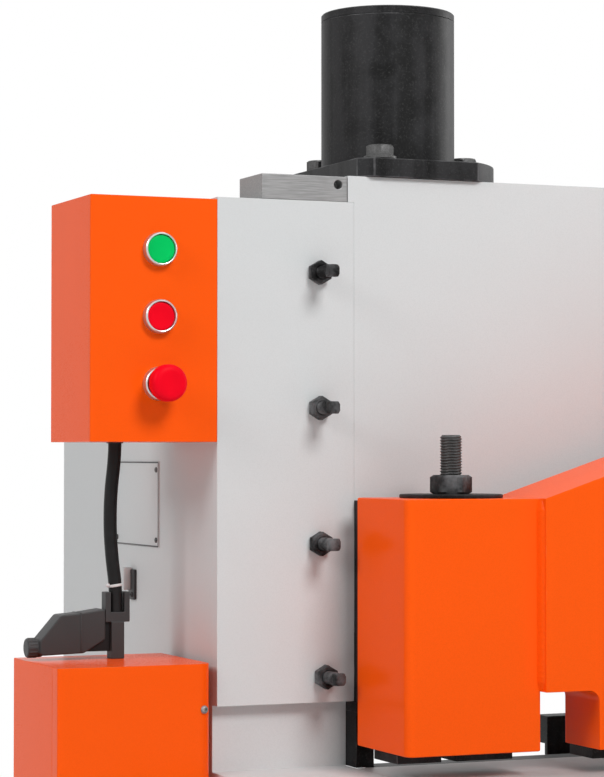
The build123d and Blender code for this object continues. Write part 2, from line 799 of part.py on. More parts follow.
# Hold-down end boxes: plate boxes open at the back, with a hole for the stud and two pads below
with BuildPart() as hold_down_boxes:
    with BuildSketch(Plane.XY.offset(box_bottom)):
        with Locations((-box_x, guide_y - box_front)):
            Rectangle(box_width, box_depth, align=(Align.MIN, Align.MIN))
    extrude(amount=box_height)
    front_edges = hold_down_boxes.edges().filter_by(Axis.Z).group_by(Axis.Y)[0]
    fillet(front_edges.sort_by(Axis.X)[0], box_round)
    with BuildSketch(Plane.XY.offset(box_bottom + box_wall)):
        with Locations((-box_x + box_wall, guide_y - box_front + box_wall)):
            Rectangle(box_width - 2 * box_wall, box_depth - box_wall, align=(Align.MIN, Align.MIN))
    extrude(amount=box_height - 2 * box_wall, mode=Mode.SUBTRACT)
    with Locations((-stud_x, stud_y, box_top)):
        Hole(stud_dia / 2 + loose_clearance, depth=box_wall)
    with BuildSketch(Plane.XY.offset(pad_top)):
        for start, length in box_pads:
            with Locations((-box_x + start, guide_y - box_front + box_pad_run[0])):
                Rectangle(length, box_pad_run[1], align=(Align.MIN, Align.MIN))
    extrude(amount=-pad_thick)
    mirror(about=Plane.YZ)
save(hold_down_boxes, "hold_down_boxes")

# Hold-down beam: front plate, arched top flange, a notched foot bar and a pad under each foot
arm_half = box_x - box_width
arm_run = arm_rise / math.tan(math.radians(arm_slope))
arm_y = guide_y - beam_front
arm_outline = [
    (-arm_half, box_bottom),
    (arm_half, box_bottom),
    (arm_half, box_top),
    (arm_half - arm_run, box_top + arm_rise),
    (-arm_half + arm_run, box_top + arm_rise),
    (-arm_half, box_top),
]
flange_fall = arm_wall / math.cos(math.radians(arm_slope))
with BuildPart() as hold_down_beam:
    with BuildSketch(front_at(arm_y)):
        with BuildLine():
            Polyline(*arm_outline, close=True)
        make_face()
    extrude(amount=-arm_depth)
    with BuildSketch(front_at(arm_y + arm_wall)):
        with BuildLine():
            Polyline(
                (-arm_half, box_bottom),
                (arm_half, box_bottom),
                *[(x, z - flange_fall) for x, z in arm_outline[2:]],
                close=True,
            )
        make_face()
    extrude(amount=-(arm_depth - arm_wall), mode=Mode.SUBTRACT)
    with BuildSketch(front_at(arm_y)):
        with Locations((0, box_bottom)):
            Rectangle(2 * arm_half, foot_bar_height, align=(Align.CENTER, Align.MIN))
    extrude(amount=-foot_bar_depth)
    foot_span = 2 * (arm_half - end_notch)
    foot_length_x = (foot_span - notch_count * notch_width) / (notch_count + 1)
    notch_pitch = foot_length_x + notch_width
    with BuildSketch(front_at(arm_y)):
        for n in range(notch_count):
            with Locations(((n - (notch_count - 1) / 2) * notch_pitch, box_bottom - notch_round)):
                RectangleRounded(
                    notch_width, notch_height + notch_round, notch_round, align=(Align.CENTER, Align.MIN)
                )
        for side in (-1, 1):
            with Locations((side * arm_half, box_bottom - notch_round)):
                RectangleRounded(
                    2 * end_notch, notch_height + notch_round, notch_round, align=(Align.CENTER, Align.MIN)
                )
    extrude(amount=-foot_bar_depth, mode=Mode.SUBTRACT)
    with BuildSketch(Plane.XY.offset(pad_top)):
        with Locations((0, arm_y + beam_pad_run[0])):
            with GridLocations(notch_pitch, 0, notch_count + 1, 1):
                pad_length = foot_length_x - 2 * pad_inset
                Rectangle(pad_length, beam_pad_run[1], align=(Align.CENTER, Align.MIN))
    extrude(amount=-pad_thick)
save(hold_down_beam, "hold_down_beam")

# Clamp cylinders on the front plate, inside the end boxes: they pull the hold-down's studs
with BuildPart() as clamp_cylinders:
    with BuildSketch(Plane.XY.offset(clamp_z)):
        with Locations((-stud_x, guide_y - clamp_front)):
            Rectangle(clamp_width, clamp_front, align=(Align.CENTER, Align.MIN))
    extrude(amount=clamp_height)
    fillet(clamp_cylinders.edges().filter_by(Axis.Z).group_by(Axis.Y)[0], clamp_round)
    with Locations((-stud_x, stud_y, clamp_z + clamp_height)):
        Hole(stud_dia / 2 + loose_clearance)
    mirror(about=Plane.YZ)
save(clamp_cylinders, "clamp_cylinders")

# Studs with a nut above the box and one under the clamp cylinder
stud_bottom = clamp_z - loose_clearance - stud_nut_thick - stud_dia / 2
with BuildPart() as clamp_studs:
    with BuildSketch(Plane.XY.offset(stud_bottom)):
        with Locations((-stud_x, stud_y)):
            Circle(stud_dia / 2)
    extrude(amount=box_top + stud_top - stud_bottom)
    chamfer(clamp_studs.edges().group_by(Axis.Z)[-1], stud_point)
    mirror(about=Plane.YZ)
save(clamp_studs, "clamp_studs")

with BuildPart() as clamp_nuts:
    for nut_z in (box_top + stud_washer_thick, clamp_z - loose_clearance - stud_nut_thick):
        with BuildSketch(Plane.XY.offset(nut_z)):
            with Locations((-stud_x, stud_y)):
                RegularPolygon(stud_nut_across / 2, 6, major_radius=False)
                Circle(stud_dia / 2 + screw_clearance, mode=Mode.SUBTRACT)
        extrude(amount=stud_nut_thick)
    mirror(about=Plane.YZ)
save(clamp_nuts, "clamp_nuts")

with BuildPart() as clamp_washers:
    with BuildSketch(Plane.XY.offset(box_top)):
        with Locations((-stud_x, stud_y)):
            Circle(stud_washer_dia / 2)
            Circle(stud_dia / 2 + loose_clearance, mode=Mode.SUBTRACT)
    extrude(amount=stud_washer_thick)
    mirror(about=Plane.YZ)
save(clamp_washers, "clamp_washers")

# Return springs: elastomer sleeves between the clamp cylinder and the box's top
with BuildPart() as clamp_springs:
    with BuildSketch(Plane.XY.offset(clamp_z + clamp_height)):
        with Locations((-stud_x, stud_y)):
            Circle(spring_outer / 2)
            Circle(spring_inner / 2, mode=Mode.SUBTRACT)
    extrude(amount=box_top - box_wall - clamp_z - clamp_height)
    mirror(about=Plane.YZ)
save(clamp_springs, "clamp_springs")

# Push-button panel: a folded sheet box whose open side lies against the side plate
panel_bottom = panel_top - panel_height
conduit_top = (-outer_x - conduit_inset, guide_y + conduit_back)
with BuildPart() as button_box:
    with BuildSketch(side_at(-outer_x)):
        with Locations((guide_y, panel_top)):
            Rectangle(panel_depth, panel_height, align=(Align.MIN, Align.MAX))
    extrude(amount=-panel_width)
    outside = button_box.edges().filter_by(Axis.Z).group_by(Axis.X)[0]
    fillet(outside, sheet)
    with BuildSketch(side_at(-outer_x)):
        with Locations((guide_y + sheet, panel_top - sheet)):
            Rectangle(panel_depth - 2 * sheet, panel_height - 2 * sheet, align=(Align.MIN, Align.MAX))
    extrude(amount=-(panel_width - sheet), mode=Mode.SUBTRACT)
    with BuildSketch(front_at(guide_y)):
        for height in button_heights:
            with Locations((button_x, height)):
                Circle(bezel_hole / 2)
    extrude(amount=-sheet, mode=Mode.SUBTRACT)
    with BuildSketch(Plane.XY.offset(panel_bottom)):
        with Locations(conduit_top):
            Circle(gland_thread / 2 + screw_clearance)
    extrude(amount=sheet, mode=Mode.SUBTRACT)
save(button_box, "button_box")


def turned(profile, height):
    """Revolve (radius, distance out of the panel) points about a button's axis."""
    with BuildSketch(side_at(button_x)) as half:
        with BuildLine():
            Polyline(*[(guide_y - out, height + radius) for radius, out in profile], close=True)
        make_face()
    revolve(half.sketch, axis=Axis((button_x, guide_y, height), (0, 1, 0)))


# Bezels: a ring in front of the panel and a threaded body behind it
with BuildPart() as button_bezels:
    for height in button_heights:
        turned(
            [
                (plunger_dia / 2 + loose_clearance, -bezel_inside),
                (plunger_dia / 2 + loose_clearance, bezel_floor),
                (button_dia / 2 + loose_clearance, bezel_floor),
                (button_dia / 2 + loose_clearance, bezel_proud),
                (bezel_dia / 2 - bezel_rim[0], bezel_proud),
                (bezel_dia / 2, bezel_proud - bezel_rim[1]),
                (bezel_dia / 2, 0),
                (bezel_hole / 2 - screw_clearance, 0),
                (bezel_hole / 2 - screw_clearance, -bezel_inside),
            ],
            height,
        )
save(button_bezels, "button_bezels")

# Contact blocks behind the bezels, each with a pocket for the plunger
with BuildPart() as contact_blocks:
    with BuildSketch(front_at(guide_y + bezel_inside)):
        for height in button_heights:
            with Locations((button_x, height)):
                Rectangle(contact_width, contact_height)
    extrude(amount=-contact_depth)
    with BuildSketch(front_at(guide_y + bezel_inside)):
        for height in button_heights:
            with Locations((button_x, height)):
                Circle(plunger_dia / 2 + loose_clearance)
    extrude(amount=-plunger_pocket, mode=Mode.SUBTRACT)
save(contact_blocks, "contact_blocks")

cap_back = bezel_floor + button_travel + loose_clearance
plunger_end = bezel_inside + plunger_pocket - stop_travel - loose_clearance


def push_button(height):
    """A slightly crowned cap with its plunger."""
    turned(
        [
            (0, -plunger_end),
            (plunger_dia / 2, -plunger_end),
            (plunger_dia / 2, cap_back),
            (button_dia / 2, cap_back),
            (button_dia / 2, bezel_proud - button_sunk - button_rim[1]),
            (button_dia / 2 - button_rim[0], bezel_proud - button_sunk),
            (0, bezel_proud - button_sunk + button_crown),
        ],
        height,
    )


with BuildPart() as green_button:
    push_button(button_heights[0])
save(green_button, "green_button")

with BuildPart() as red_button:
    push_button(button_heights[1])
save(red_button, "red_button")

# Emergency stop: a stem that is pushed in, and a mushroom head that turns on it to let go
head_back = stop_proud - stop_head_thick
collar_back = bezel_floor + stop_travel + loose_clearance
with BuildPart() as stop_stem:
    turned(
        [
            (0, -plunger_end),
            (plunger_dia / 2, -plunger_end),
            (plunger_dia / 2, collar_back),
            (stop_collar_dia / 2, collar_back),
            (stop_collar_dia / 2, head_back - loose_clearance),
            (stop_stem_dia / 2, head_back - loose_clearance),
            (stop_stem_dia / 2, stop_proud - stop_roof),
            (0, stop_proud - stop_roof),
        ],
        button_heights[2],
    )
save(stop_stem, "stop_stem")

with BuildPart() as stop_head:
    turned(
        [
            (stop_stem_dia / 2 + running_clearance, head_back),
            (stop_dia / 2 - stop_skirt, head_back),
            (stop_dia / 2, head_back + stop_skirt),
            (stop_dia / 2, stop_proud - stop_roof),
            *[(stop_dia / 2 - inward, stop_proud - down) for inward, down in stop_dome],
            (0, stop_proud),
            (0, stop_proud - stop_roof + loose_clearance),
            (stop_stem_dia / 2 + running_clearance, stop_proud - stop_roof + loose_clearance),
        ],
        button_heights[2],
    )
save(stop_head, "stop_head")

# Electrical cabinet: a shell with a rounded front corner, carried on four stand-offs
cabinet_mid_x = cabinet_x - cabinet_width / 2
cabinet_bottom = cabinet_top - cabinet_height
shell_depth = cabinet_depth - cover_depth
stand_off_z = cabinet_bottom + cabinet_height / 2 - stand_off_drop
with BuildPart() as cabinet:
    with BuildSketch(Plane.XY.offset(cabinet_bottom)):
        with Locations((cabinet_x, cabinet_y + cover_depth)):
            Rectangle(cabinet_width, shell_depth, align=(Align.MAX, Align.MIN))
    extrude(amount=cabinet_height)
    with BuildSketch(Plane.XY.offset(cabinet_bottom + sheet)):
        with Locations((cabinet_x - sheet, cabinet_y + cover_depth)):
            Rectangle(cabinet_width - 2 * sheet, shell_depth - sheet, align=(Align.MAX, Align.MIN))
    extrude(amount=cabinet_height - 2 * sheet, mode=Mode.SUBTRACT)
    with BuildSketch(side_at(-outer_x)):
        with Locations((cabinet_y + cabinet_depth / 2, stand_off_z)):
            with GridLocations(*stand_off_pitch, 2, 2):
                Circle(stand_off_dia / 2)
    extrude(amount=-cabinet_stand_off)
save(cabinet, "cabinet")

# Front cover: a shallow tray that shuts the cabinet, rounded towards the machine
with BuildPart() as cabinet_cover:
    with BuildSketch(Plane.XY.offset(cabinet_bottom)):
        with Locations((cabinet_x, cabinet_y)):
            Rectangle(cabinet_width, cover_depth, align=(Align.MAX, Align.MIN))
    extrude(amount=cabinet_height)
    corner = cabinet_cover.edges().filter_by(Axis.Z).group_by(Axis.Y)[0].sort_by(Axis.X)
    fillet(corner[-1], cabinet_round)
    fillet(cabinet_cover.edges().filter_by(Axis.Z).group_by(Axis.X)[0].sort_by(Axis.Y)[0], sheet)
    with BuildSketch(Plane.XY.offset(cabinet_bottom + sheet)):
        with Locations((cabinet_x - cabinet_round, cabinet_y + sheet)):
            Rectangle(
                cabinet_width - cabinet_round - sheet, cover_depth - sheet, align=(Align.MAX, Align.MIN)
            )
    extrude(amount=cabinet_height - 2 * sheet, mode=Mode.SUBTRACT)
save(cabinet_cover, "cabinet_cover")

# Switchgear on the cabinet's back wall: transformer, contactor and terminal row
cabinet_back = cabinet_y + cabinet_depth - sheet
with BuildPart() as switchgear:
    with BuildSketch(front_at(cabinet_back)):
        with Locations((cabinet_mid_x, cabinet_bottom + transformer_z)):
            Rectangle(*transformer[:2])
    extrude(amount=transformer[2])
    with BuildSketch(front_at(cabinet_back)):
        with Locations((cabinet_mid_x, cabinet_bottom + contactor_z)):
            with GridLocations(contactor_pitch, 0, 2, 1):
                Rectangle(*contactor[:2])
    extrude(amount=contactor[2])
    with BuildSketch(front_at(cabinet_back)):
        with Locations((cabinet_mid_x, cabinet_bottom + terminal_z)):
            Rectangle(*terminal_row[:2])
    extrude(amount=terminal_row[2])
save(switchgear, "switchgear")

# Conduit gland: a flange under the panel, a thread through the sheet and a lock nut inside
with BuildPart() as conduit_gland:
    with BuildSketch(Plane.XY.offset(panel_bottom)):
        with Locations(conduit_top):
            Circle(gland_flange[0] / 2)
    extrude(amount=-gland_flange[1])
    with BuildSketch(Plane.XY.offset(panel_bottom)):
        with Locations(conduit_top):
            Circle(gland_thread / 2)
    extrude(amount=gland_inside)
    with BuildSketch(Plane.XY.offset(panel_bottom + sheet)):
        with Locations(conduit_top):
            RegularPolygon(gland_nut[0] / 2, 6, major_radius=False)
    extrude(amount=gland_nut[1])
save(conduit_gland, "conduit_gland")

# Plug on the cabinet: a stem with two jaws that hold the conduit, and its sloping hood beside it
plug_x = -outer_x - plug_inset
plug_y = guide_y + plug_back
jaw_gap = conduit_dia + 2 * loose_clearance
plug_width = jaw_gap + 2 * plug_jaw_width
saddle_top = cabinet_top + plug_stem[2] + plug_saddle
with BuildPart() as plug_base:
    with BuildSketch(Plane.XY.offset(cabinet_top)):
        with Locations((plug_x, plug_y)):
            Rectangle(*plug_stem[:2])
    extrude(amount=plug_stem[2])
    with BuildSketch(Plane.XY.offset(cabinet_top + plug_stem[2])):
        with Locations((plug_x, plug_y)):
            Rectangle(plug_width, plug_jaw_depth)
    extrude(amount=plug_saddle)
    with BuildSketch(Plane.XY.offset(saddle_top)):
        with Locations((plug_x, plug_y)):
            with GridLocations(jaw_gap + plug_jaw_width, 0, 2, 1):
                Rectangle(plug_jaw_width, plug_jaw_depth)
    extrude(amount=plug_jaw_height)
save(plug_base, "plug_base")

hood_x = plug_x - plug_width / 2
with BuildPart() as plug_hood:
    with BuildSketch(front_at(plug_y + hood_depth - plug_jaw_depth / 2)):
        with BuildLine():
            Polyline(*[(hood_x - out, cabinet_top + up) for out, up in hood_outline], close=True)
        make_face()
    extrude(amount=hood_depth)
    fillet(plug_hood.edges().filter_by(Axis.Y).group_by(Axis.X)[0], hood_nose)
    hood_end = hood_x - max(out for out, up in hood_outline)
    with BuildSketch(side_at(hood_end + hood_nut_seat)):
        with Locations((plug_y + (hood_depth - plug_jaw_depth) / 2, cabinet_top + hood_nut[2])):
            Circle(hood_nut[0] / 2)
    extrude(amount=-(hood_nut_seat + hood_nut[1]))
save(plug_hood, "plug_hood")

# Conduit: a short stiff lead that bows a little outwards, from the gland to the plug's jaws
gland_bottom = Vector(*conduit_top, panel_bottom - gland_flange[1])
route = [gland_bottom + Vector(*step) for step in conduit_bow]
route += [Vector(plug_x, plug_y, saddle_top + conduit_straight), Vector(plug_x, plug_y, saddle_top)]
runs = [b - a for a, b in zip(route, route[1:])]
radii = [
    bend_share * min(a.length, b.length) / math.tan(math.radians(a.get_angle(b)) / 2)
    for a, b in zip(runs, runs[1:])
]
with BuildPart() as conduit:
    with BuildLine() as conduit_line:
        FilletPolyline(*route, radius=radii)
    with BuildSketch(Plane(origin=route[0], z_dir=runs[0])):
        Circle(conduit_dia / 2)
    sweep()
save(conduit, "conduit")
path_length = sum(edge.length for edge in conduit_line.edges())
tube_volume = math.pi * conduit_dia**2 / 4 * path_length
print("conduit points", [tuple(round(v, 2) for v in point) for point in route])
print("conduit radii", [round(radius) for radius in radii], "length", round(path_length, 1))
print("conduit volume against its tube", round(conduit.part.volume / tube_volume, 4))

# Back gauge: two rods with stop collars, and a bar on two carriages with clamp knobs
rod_x = gauge_rod_spread / 2
rod_end_y = web_back_y + gauge_rod_length
with BuildPart() as gauge_rods:
    with BuildSketch(front_at(web_back_y)):
        with Locations((-rod_x, gauge_z)):
            Circle(gauge_rod / 2)
    extrude(amount=-gauge_rod_length)
    with BuildSketch(front_at(rod_end_y)):
        with Locations((-rod_x, gauge_z)):
            Circle(collar_dia / 2)
    extrude(amount=collar_thick)
    mirror(about=Plane.YZ)
save(gauge_rods, "gauge_rods")

with BuildPart() as gauge_bar:
    with BuildSketch(side_at(-gauge_length / 2)):
        with Locations((gauge_y, table_height + gauge_rise)):
            Rectangle(gauge_lip[0], gauge_height, align=(Align.MIN, Align.MAX))
            Rectangle(gauge_thick, gauge_height - gauge_lip[1], align=(Align.MIN, Align.MAX))
    extrude(amount=gauge_length)
save(gauge_bar, "gauge_bar")

# Carriages: a bored block on each rod with an upright for the bar, and a hole for the clamp screw
carriage_y = gauge_y + gauge_thick
carriage_side = rod_x + carriage_width / 2
knob_y = carriage_y + carriage_depth / 2
with BuildPart() as gauge_carriages:
    with BuildSketch(side_at(-carriage_side)):
        with BuildLine():
            Polyline(
                (carriage_y, gauge_z - carriage_drop),
                (carriage_y + carriage_depth, gauge_z - carriage_drop),
                (carriage_y + carriage_depth, gauge_z + carriage_drop),
                (carriage_y + upright_thick, table_height + upright_rise),
                (carriage_y, table_height + upright_rise),
                close=True,
            )
        make_face()
    extrude(amount=carriage_width)
    with BuildSketch(front_at(carriage_y)):
        with Locations((-rod_x, gauge_z)):
            Circle(gauge_rod / 2 + running_clearance)
    extrude(amount=-carriage_depth, mode=Mode.SUBTRACT)
    with BuildSketch(side_at(-carriage_side)):
        with Locations((knob_y, gauge_z)):
            Circle(knob_screw / 2 + running_clearance)
    extrude(amount=carriage_width / 2, mode=Mode.SUBTRACT)
    mirror(about=Plane.YZ)
save(gauge_carriages, "gauge_carriages")

# Clamp knobs: a five-lobed grip with a screw that reaches the rod
with BuildPart() as left_gauge_knob:
    with BuildSketch(side_at(-carriage_side - knob_gap)):
        with Locations((knob_y, gauge_z)):
            Circle(knob_dia / 2)
            with PolarLocations(knob_dia / 2 + knob_lobe / 2, knob_lobes):
                Circle(knob_lobe, mode=Mode.SUBTRACT)
    extrude(amount=-knob_thick)
    with BuildSketch(side_at(-carriage_side - knob_gap)):
        with Locations((knob_y, gauge_z)):
            Circle(knob_screw / 2)
    extrude(amount=knob_gap + (carriage_width - gauge_rod) / 2 - loose_clearance)
save(left_gauge_knob, "left_gauge_knob")

with BuildPart() as right_gauge_knob:
    mirror(left_gauge_knob.part, about=Plane.YZ)
save(right_gauge_knob, "right_gauge_knob")

# Chute behind the bed, for the pieces cut off
chute_z = table_height - chute_top_drop
chute_end_y = web_back_y + chute_run
with BuildPart() as scrap_chute:
    with BuildSketch(side_at(-plate_in_x)):
        with BuildLine():
            Polyline(
                (web_back_y, chute_z + chute_lip),
                (web_back_y + chute_sheet, chute_z + chute_lip),
                (web_back_y + chute_sheet, chute_z),
                (chute_end_y, chute_z - chute_fall),
                (chute_end_y, chute_z - chute_fall - chute_sheet),
                (web_back_y, chute_z - chute_sheet),
                close=True,
            )
        make_face()
    extrude(amount=2 * plate_in_x)
save(scrap_chute, "scrap_chute")

# Tie bars between the side plates: square tube that also carries the oil tank
with BuildPart() as tie_bars:
    with BuildSketch(side_at(-plate_in_x)):
        for tie_y in (tank_mid_y - tie_spread / 2, tank_mid_y + tie_spread / 2):
            with Locations((tie_y, tie_lift)):
                Rectangle(tie_width, tie_height, align=(Align.CENTER, Align.MIN))
            with Locations((tie_y, tie_lift + tie_wall)):
                Rectangle(
                    tie_width - 2 * tie_wall,
                    tie_height - 2 * tie_wall,
                    align=(Align.CENTER, Align.MIN),
                    mode=Mode.SUBTRACT,
                )
    extrude(amount=2 * plate_in_x)
save(tie_bars, "tie_bars")

with BuildPart() as oil_tank:
    with BuildSketch(Plane.XY.offset(tie_top)):
        with Locations((0, tank_mid_y)):
            Rectangle(tank_length, tank_depth)
    extrude(amount=tank_height)
    with BuildSketch(Plane.XY.offset(tie_top + tank_wall)):
        with Locations((0, tank_mid_y)):
            Rectangle(tank_length - 2 * tank_wall, tank_depth - 2 * tank_wall)
    extrude(amount=tank_height - tank_wall, mode=Mode.SUBTRACT)
save(oil_tank, "oil_tank")

with BuildPart() as tank_lid:
    with BuildSketch(Plane.XY.offset(lid_z)):
        with Locations((0, tank_mid_y)):
            Rectangle(tank_length + 2 * lid_lip, tank_depth + 2 * lid_lip)
        with Locations(filler_place):
            Circle(filler_neck[0] / 2 + screw_clearance, mode=Mode.SUBTRACT)
    extrude(amount=lid_thick)
save(tank_lid, "tank_lid")

with BuildPart() as filler_cap:
    with BuildSketch(Plane.XY.offset(lid_top)):
        with Locations(filler_place):
            Circle(filler_dia / 2)
    extrude(amount=filler_height)
    chamfer(filler_cap.edges().group_by(Axis.Z)[-1], edge_break)
    with BuildSketch(Plane.XY.offset(lid_top)):
        with Locations(filler_place):
            Circle(filler_neck[0] / 2)
    extrude(amount=-filler_neck[1])
save(filler_cap, "filler_cap")

# Motor: finned housing between two end shields, on feet, with a terminal box behind
motor_end_x = motor_x + motor_length
with BuildPart() as motor:
    with BuildSketch(side_at(motor_x)):
        with Locations((tank_mid_y, motor_z)):
            Circle(motor_dia / 2)
            with PolarLocations(motor_dia / 2, motor_fins):
                Rectangle(2 * fin_depth, fin_gap, mode=Mode.SUBTRACT)
    extrude(amount=motor_length)
    for shield_x in (motor_x, motor_end_x - shield_thick):
        with BuildSketch(side_at(shield_x)):
            with Locations((tank_mid_y, motor_z)):
                Circle(motor_dia / 2)
        extrude(amount=shield_thick)
    with BuildSketch(Plane.XY.offset(lid_top)):
        with Locations((motor_x + motor_length / 2, tank_mid_y)):
            with GridLocations(motor_foot_pitch, 0, 2, 1):
                Rectangle(motor_foot[0], motor_foot[1])
    extrude(amount=motor_foot[2])
    with BuildSketch(front_at(tank_mid_y)):
        with Locations((motor_x + motor_length / 2, motor_z)):
            Rectangle(*terminal_box[:2])
    extrude(amount=-(motor_dia / 2 + terminal_box[2]))
    with BuildSketch(side_at(motor_x)):
        with Locations((tank_mid_y, motor_z)):
            Circle(shaft_dia / 2 + loose_clearance)
    extrude(amount=motor_length, mode=Mode.SUBTRACT)
save(motor, "motor")

# Fan cover: a cup over the motor's rear end, with a ring of air slots in its end
with BuildPart() as fan_cover:
    with BuildSketch(side_at(motor_x)):
        with Locations((tank_mid_y, motor_z)):
            Circle(motor_dia / 2)
    extrude(amount=-fan_cover_length)
    with BuildSketch(side_at(motor_x)):
        with Locations((tank_mid_y, motor_z)):
            Circle(motor_dia / 2 - sheet)
    extrude(amount=-(fan_cover_length - sheet), mode=Mode.SUBTRACT)
    with BuildSketch(side_at(motor_x)):
        with Locations((tank_mid_y, motor_z)):
            with PolarLocations(air_slot_circle, air_slot_count):
                Rectangle(*air_slot)
    extrude(amount=-fan_cover_length, mode=Mode.SUBTRACT)
save(fan_cover, "fan_cover")

# Motor shaft with its fan at the rear and its half of the pump coupling at the front
fan_x = motor_x - fan_cover_length / 2
shaft_end_x = motor_end_x + bell_length + shaft_in_pump
with BuildPart() as motor_shaft:
    with BuildSketch(side_at(fan_x - fan_width / 2)):
        with Locations((tank_mid_y, motor_z)):
            Circle(shaft_dia / 2)
    extrude(amount=shaft_end_x - fan_x + fan_width / 2)
    with BuildSketch(side_at(fan_x - fan_width / 2)):
        with Locations((tank_mid_y, motor_z)):
            Circle(fan_hub / 2)
            with PolarLocations((fan_hub + fan_dia) / 4, fan_blades):
                Rectangle((fan_dia - fan_hub) / 2 + fan_blade, fan_blade)
    extrude(amount=fan_width)
    with BuildSketch(side_at(motor_end_x + coupling_gap)):
        with Locations((tank_mid_y, motor_z)):
            Circle(coupling_dia / 2)
    extrude(amount=bell_length - 2 * coupling_gap)
save(motor_shaft, "motor_shaft")

# Pump with its bell housing, which is bolted to the motor's front shield
with BuildPart() as pump:
    with BuildSketch(side_at(motor_end_x)):
        with Locations((tank_mid_y, motor_z)):
            Circle(bell_dia / 2)
            Circle(bell_dia / 2 - bell_wall, mode=Mode.SUBTRACT)
    extrude(amount=bell_length)
    with BuildSketch(side_at(motor_end_x + bell_length)):
        with Locations((tank_mid_y, motor_z)):
            Circle(bell_dia / 2)
    extrude(amount=pump_flange)
    with BuildSketch(side_at(motor_end_x + bell_length)):
        with Locations((tank_mid_y, motor_z)):
            Rectangle(pump_dia, pump_dia)
    extrude(amount=pump_length)
    with BuildSketch(side_at(motor_end_x + bell_length)):
        with Locations((tank_mid_y, motor_z)):
            Circle(shaft_dia / 2 + loose_clearance)
    extrude(amount=shaft_in_pump + loose_clearance, mode=Mode.SUBTRACT)
    with BuildSketch(front_at(tank_mid_y - pump_dia / 2)):
        with Locations((motor_end_x + bell_length + pump_port[0], motor_z)):
            Circle(port_bore / 2)
    extrude(amount=-pump_port[1], mode=Mode.SUBTRACT)
save(pump, "pump")

# Valve block on the lid with its solenoid valve on top
with BuildPart() as valve_block:
    with BuildSketch(Plane.XY.offset(lid_top)):
        with Locations((valve_x, tank_mid_y)):
            Rectangle(valve_block_size[0], valve_block_size[1])
    extrude(amount=valve_block_size[2])
    with BuildSketch(front_at(tank_mid_y - valve_block_size[1] / 2)):
        with Locations((valve_x, lid_top + valve_block_size[2] / 2)):
            with GridLocations(valve_port_pitch, 0, 2, 1):
                Circle(port_bore / 2)
    extrude(amount=-valve_port_depth, mode=Mode.SUBTRACT)
save(valve_block, "valve_block")

valve_z = lid_top + valve_block_size[2]
with BuildPart() as solenoid_valve:
    with BuildSketch(Plane.XY.offset(valve_z)):
        with Locations((valve_x, tank_mid_y)):
            Rectangle(valve_body[0], valve_body[1])
    extrude(amount=valve_body[2])
    with BuildSketch(front_at(tank_mid_y - coil[1])):
        with Locations((valve_x, valve_z + valve_body[2] / 2)):
            Circle(coil[0] / 2)
    extrude(amount=-2 * coil[1])
save(solenoid_valve, "solenoid_valve")
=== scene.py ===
# %% [markdown]
# # Dressing a guillotine shear
# The packed model holds every piece of a hydraulic sheet-metal shear at its real size and place, in metres.
# This lesson gives it its looks: a camera, the conduit, the finishes, rounded plate edges, threads and nuts,
# push buttons, welds, screws and a plain studio. Nothing here moves or resizes a piece of the model.

# %% Load the packed model
import json
import math

import bmesh
import bpy
from mathutils import Matrix, Vector


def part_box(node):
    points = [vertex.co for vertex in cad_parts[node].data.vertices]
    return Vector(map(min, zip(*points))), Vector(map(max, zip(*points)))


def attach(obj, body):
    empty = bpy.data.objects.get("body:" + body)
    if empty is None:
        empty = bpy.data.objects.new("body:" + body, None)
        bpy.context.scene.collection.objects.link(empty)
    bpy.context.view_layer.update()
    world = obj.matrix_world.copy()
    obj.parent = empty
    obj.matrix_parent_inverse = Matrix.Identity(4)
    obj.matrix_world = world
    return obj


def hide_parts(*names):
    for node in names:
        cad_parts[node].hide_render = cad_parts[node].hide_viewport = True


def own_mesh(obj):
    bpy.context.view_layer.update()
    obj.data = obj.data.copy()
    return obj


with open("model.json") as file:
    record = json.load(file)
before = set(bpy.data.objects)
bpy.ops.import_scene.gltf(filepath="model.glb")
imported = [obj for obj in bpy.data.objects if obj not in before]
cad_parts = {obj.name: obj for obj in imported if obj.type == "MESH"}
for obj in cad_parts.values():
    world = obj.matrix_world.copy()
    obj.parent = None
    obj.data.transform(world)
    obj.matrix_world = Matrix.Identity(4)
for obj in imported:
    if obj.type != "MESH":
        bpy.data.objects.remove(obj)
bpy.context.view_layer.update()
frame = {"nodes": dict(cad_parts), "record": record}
nodes = frame["nodes"]
record = frame["record"]
slot_of = {part["node"]: part["material_slot"] for part in record["subparts"]}
body_of = {node: body for body, members in record["behaviour"]["bodies"].items() for node in members}
mm = 0.001

# %% [markdown]
# The camera comes first, because every later choice is judged through it. It could be set by eye, but the
# receding edges of the machine give its place: 23 degrees to the side, a little above the middle of the machine
# and with a long lens. Blender fits the sensor's width to the longer side of the picture, here its height.

# %% Camera
image_size = (604, 777)
focal_pixels = 2560.0
horizon_row = 455.0
camera_place = (-1.611, -2.2415, 1.101)
camera_yaw = math.radians(23.0)

lens = bpy.data.cameras.new("camera")
lens.lens = focal_pixels * lens.sensor_width / max(image_size)
camera_pitch = math.atan((horizon_row - image_size[1] / 2) / focal_pixels)
camera = bpy.data.objects.new("camera", lens)
camera.location = camera_place
camera.rotation_euler = (math.pi / 2 + camera_pitch, 0.0, -camera_yaw)
bpy.context.scene.collection.objects.link(camera)
bpy.context.scene.camera = camera
print("camera with a lens of", round(lens.lens, 1), "mm")

# %% [markdown]
# Shader maths reads best as plain expressions. One small class wraps a socket: plus, minus and times on it add
# Math nodes, so `1 - mask` works, and `node` adds any other node. Numbers alone stay in Python.


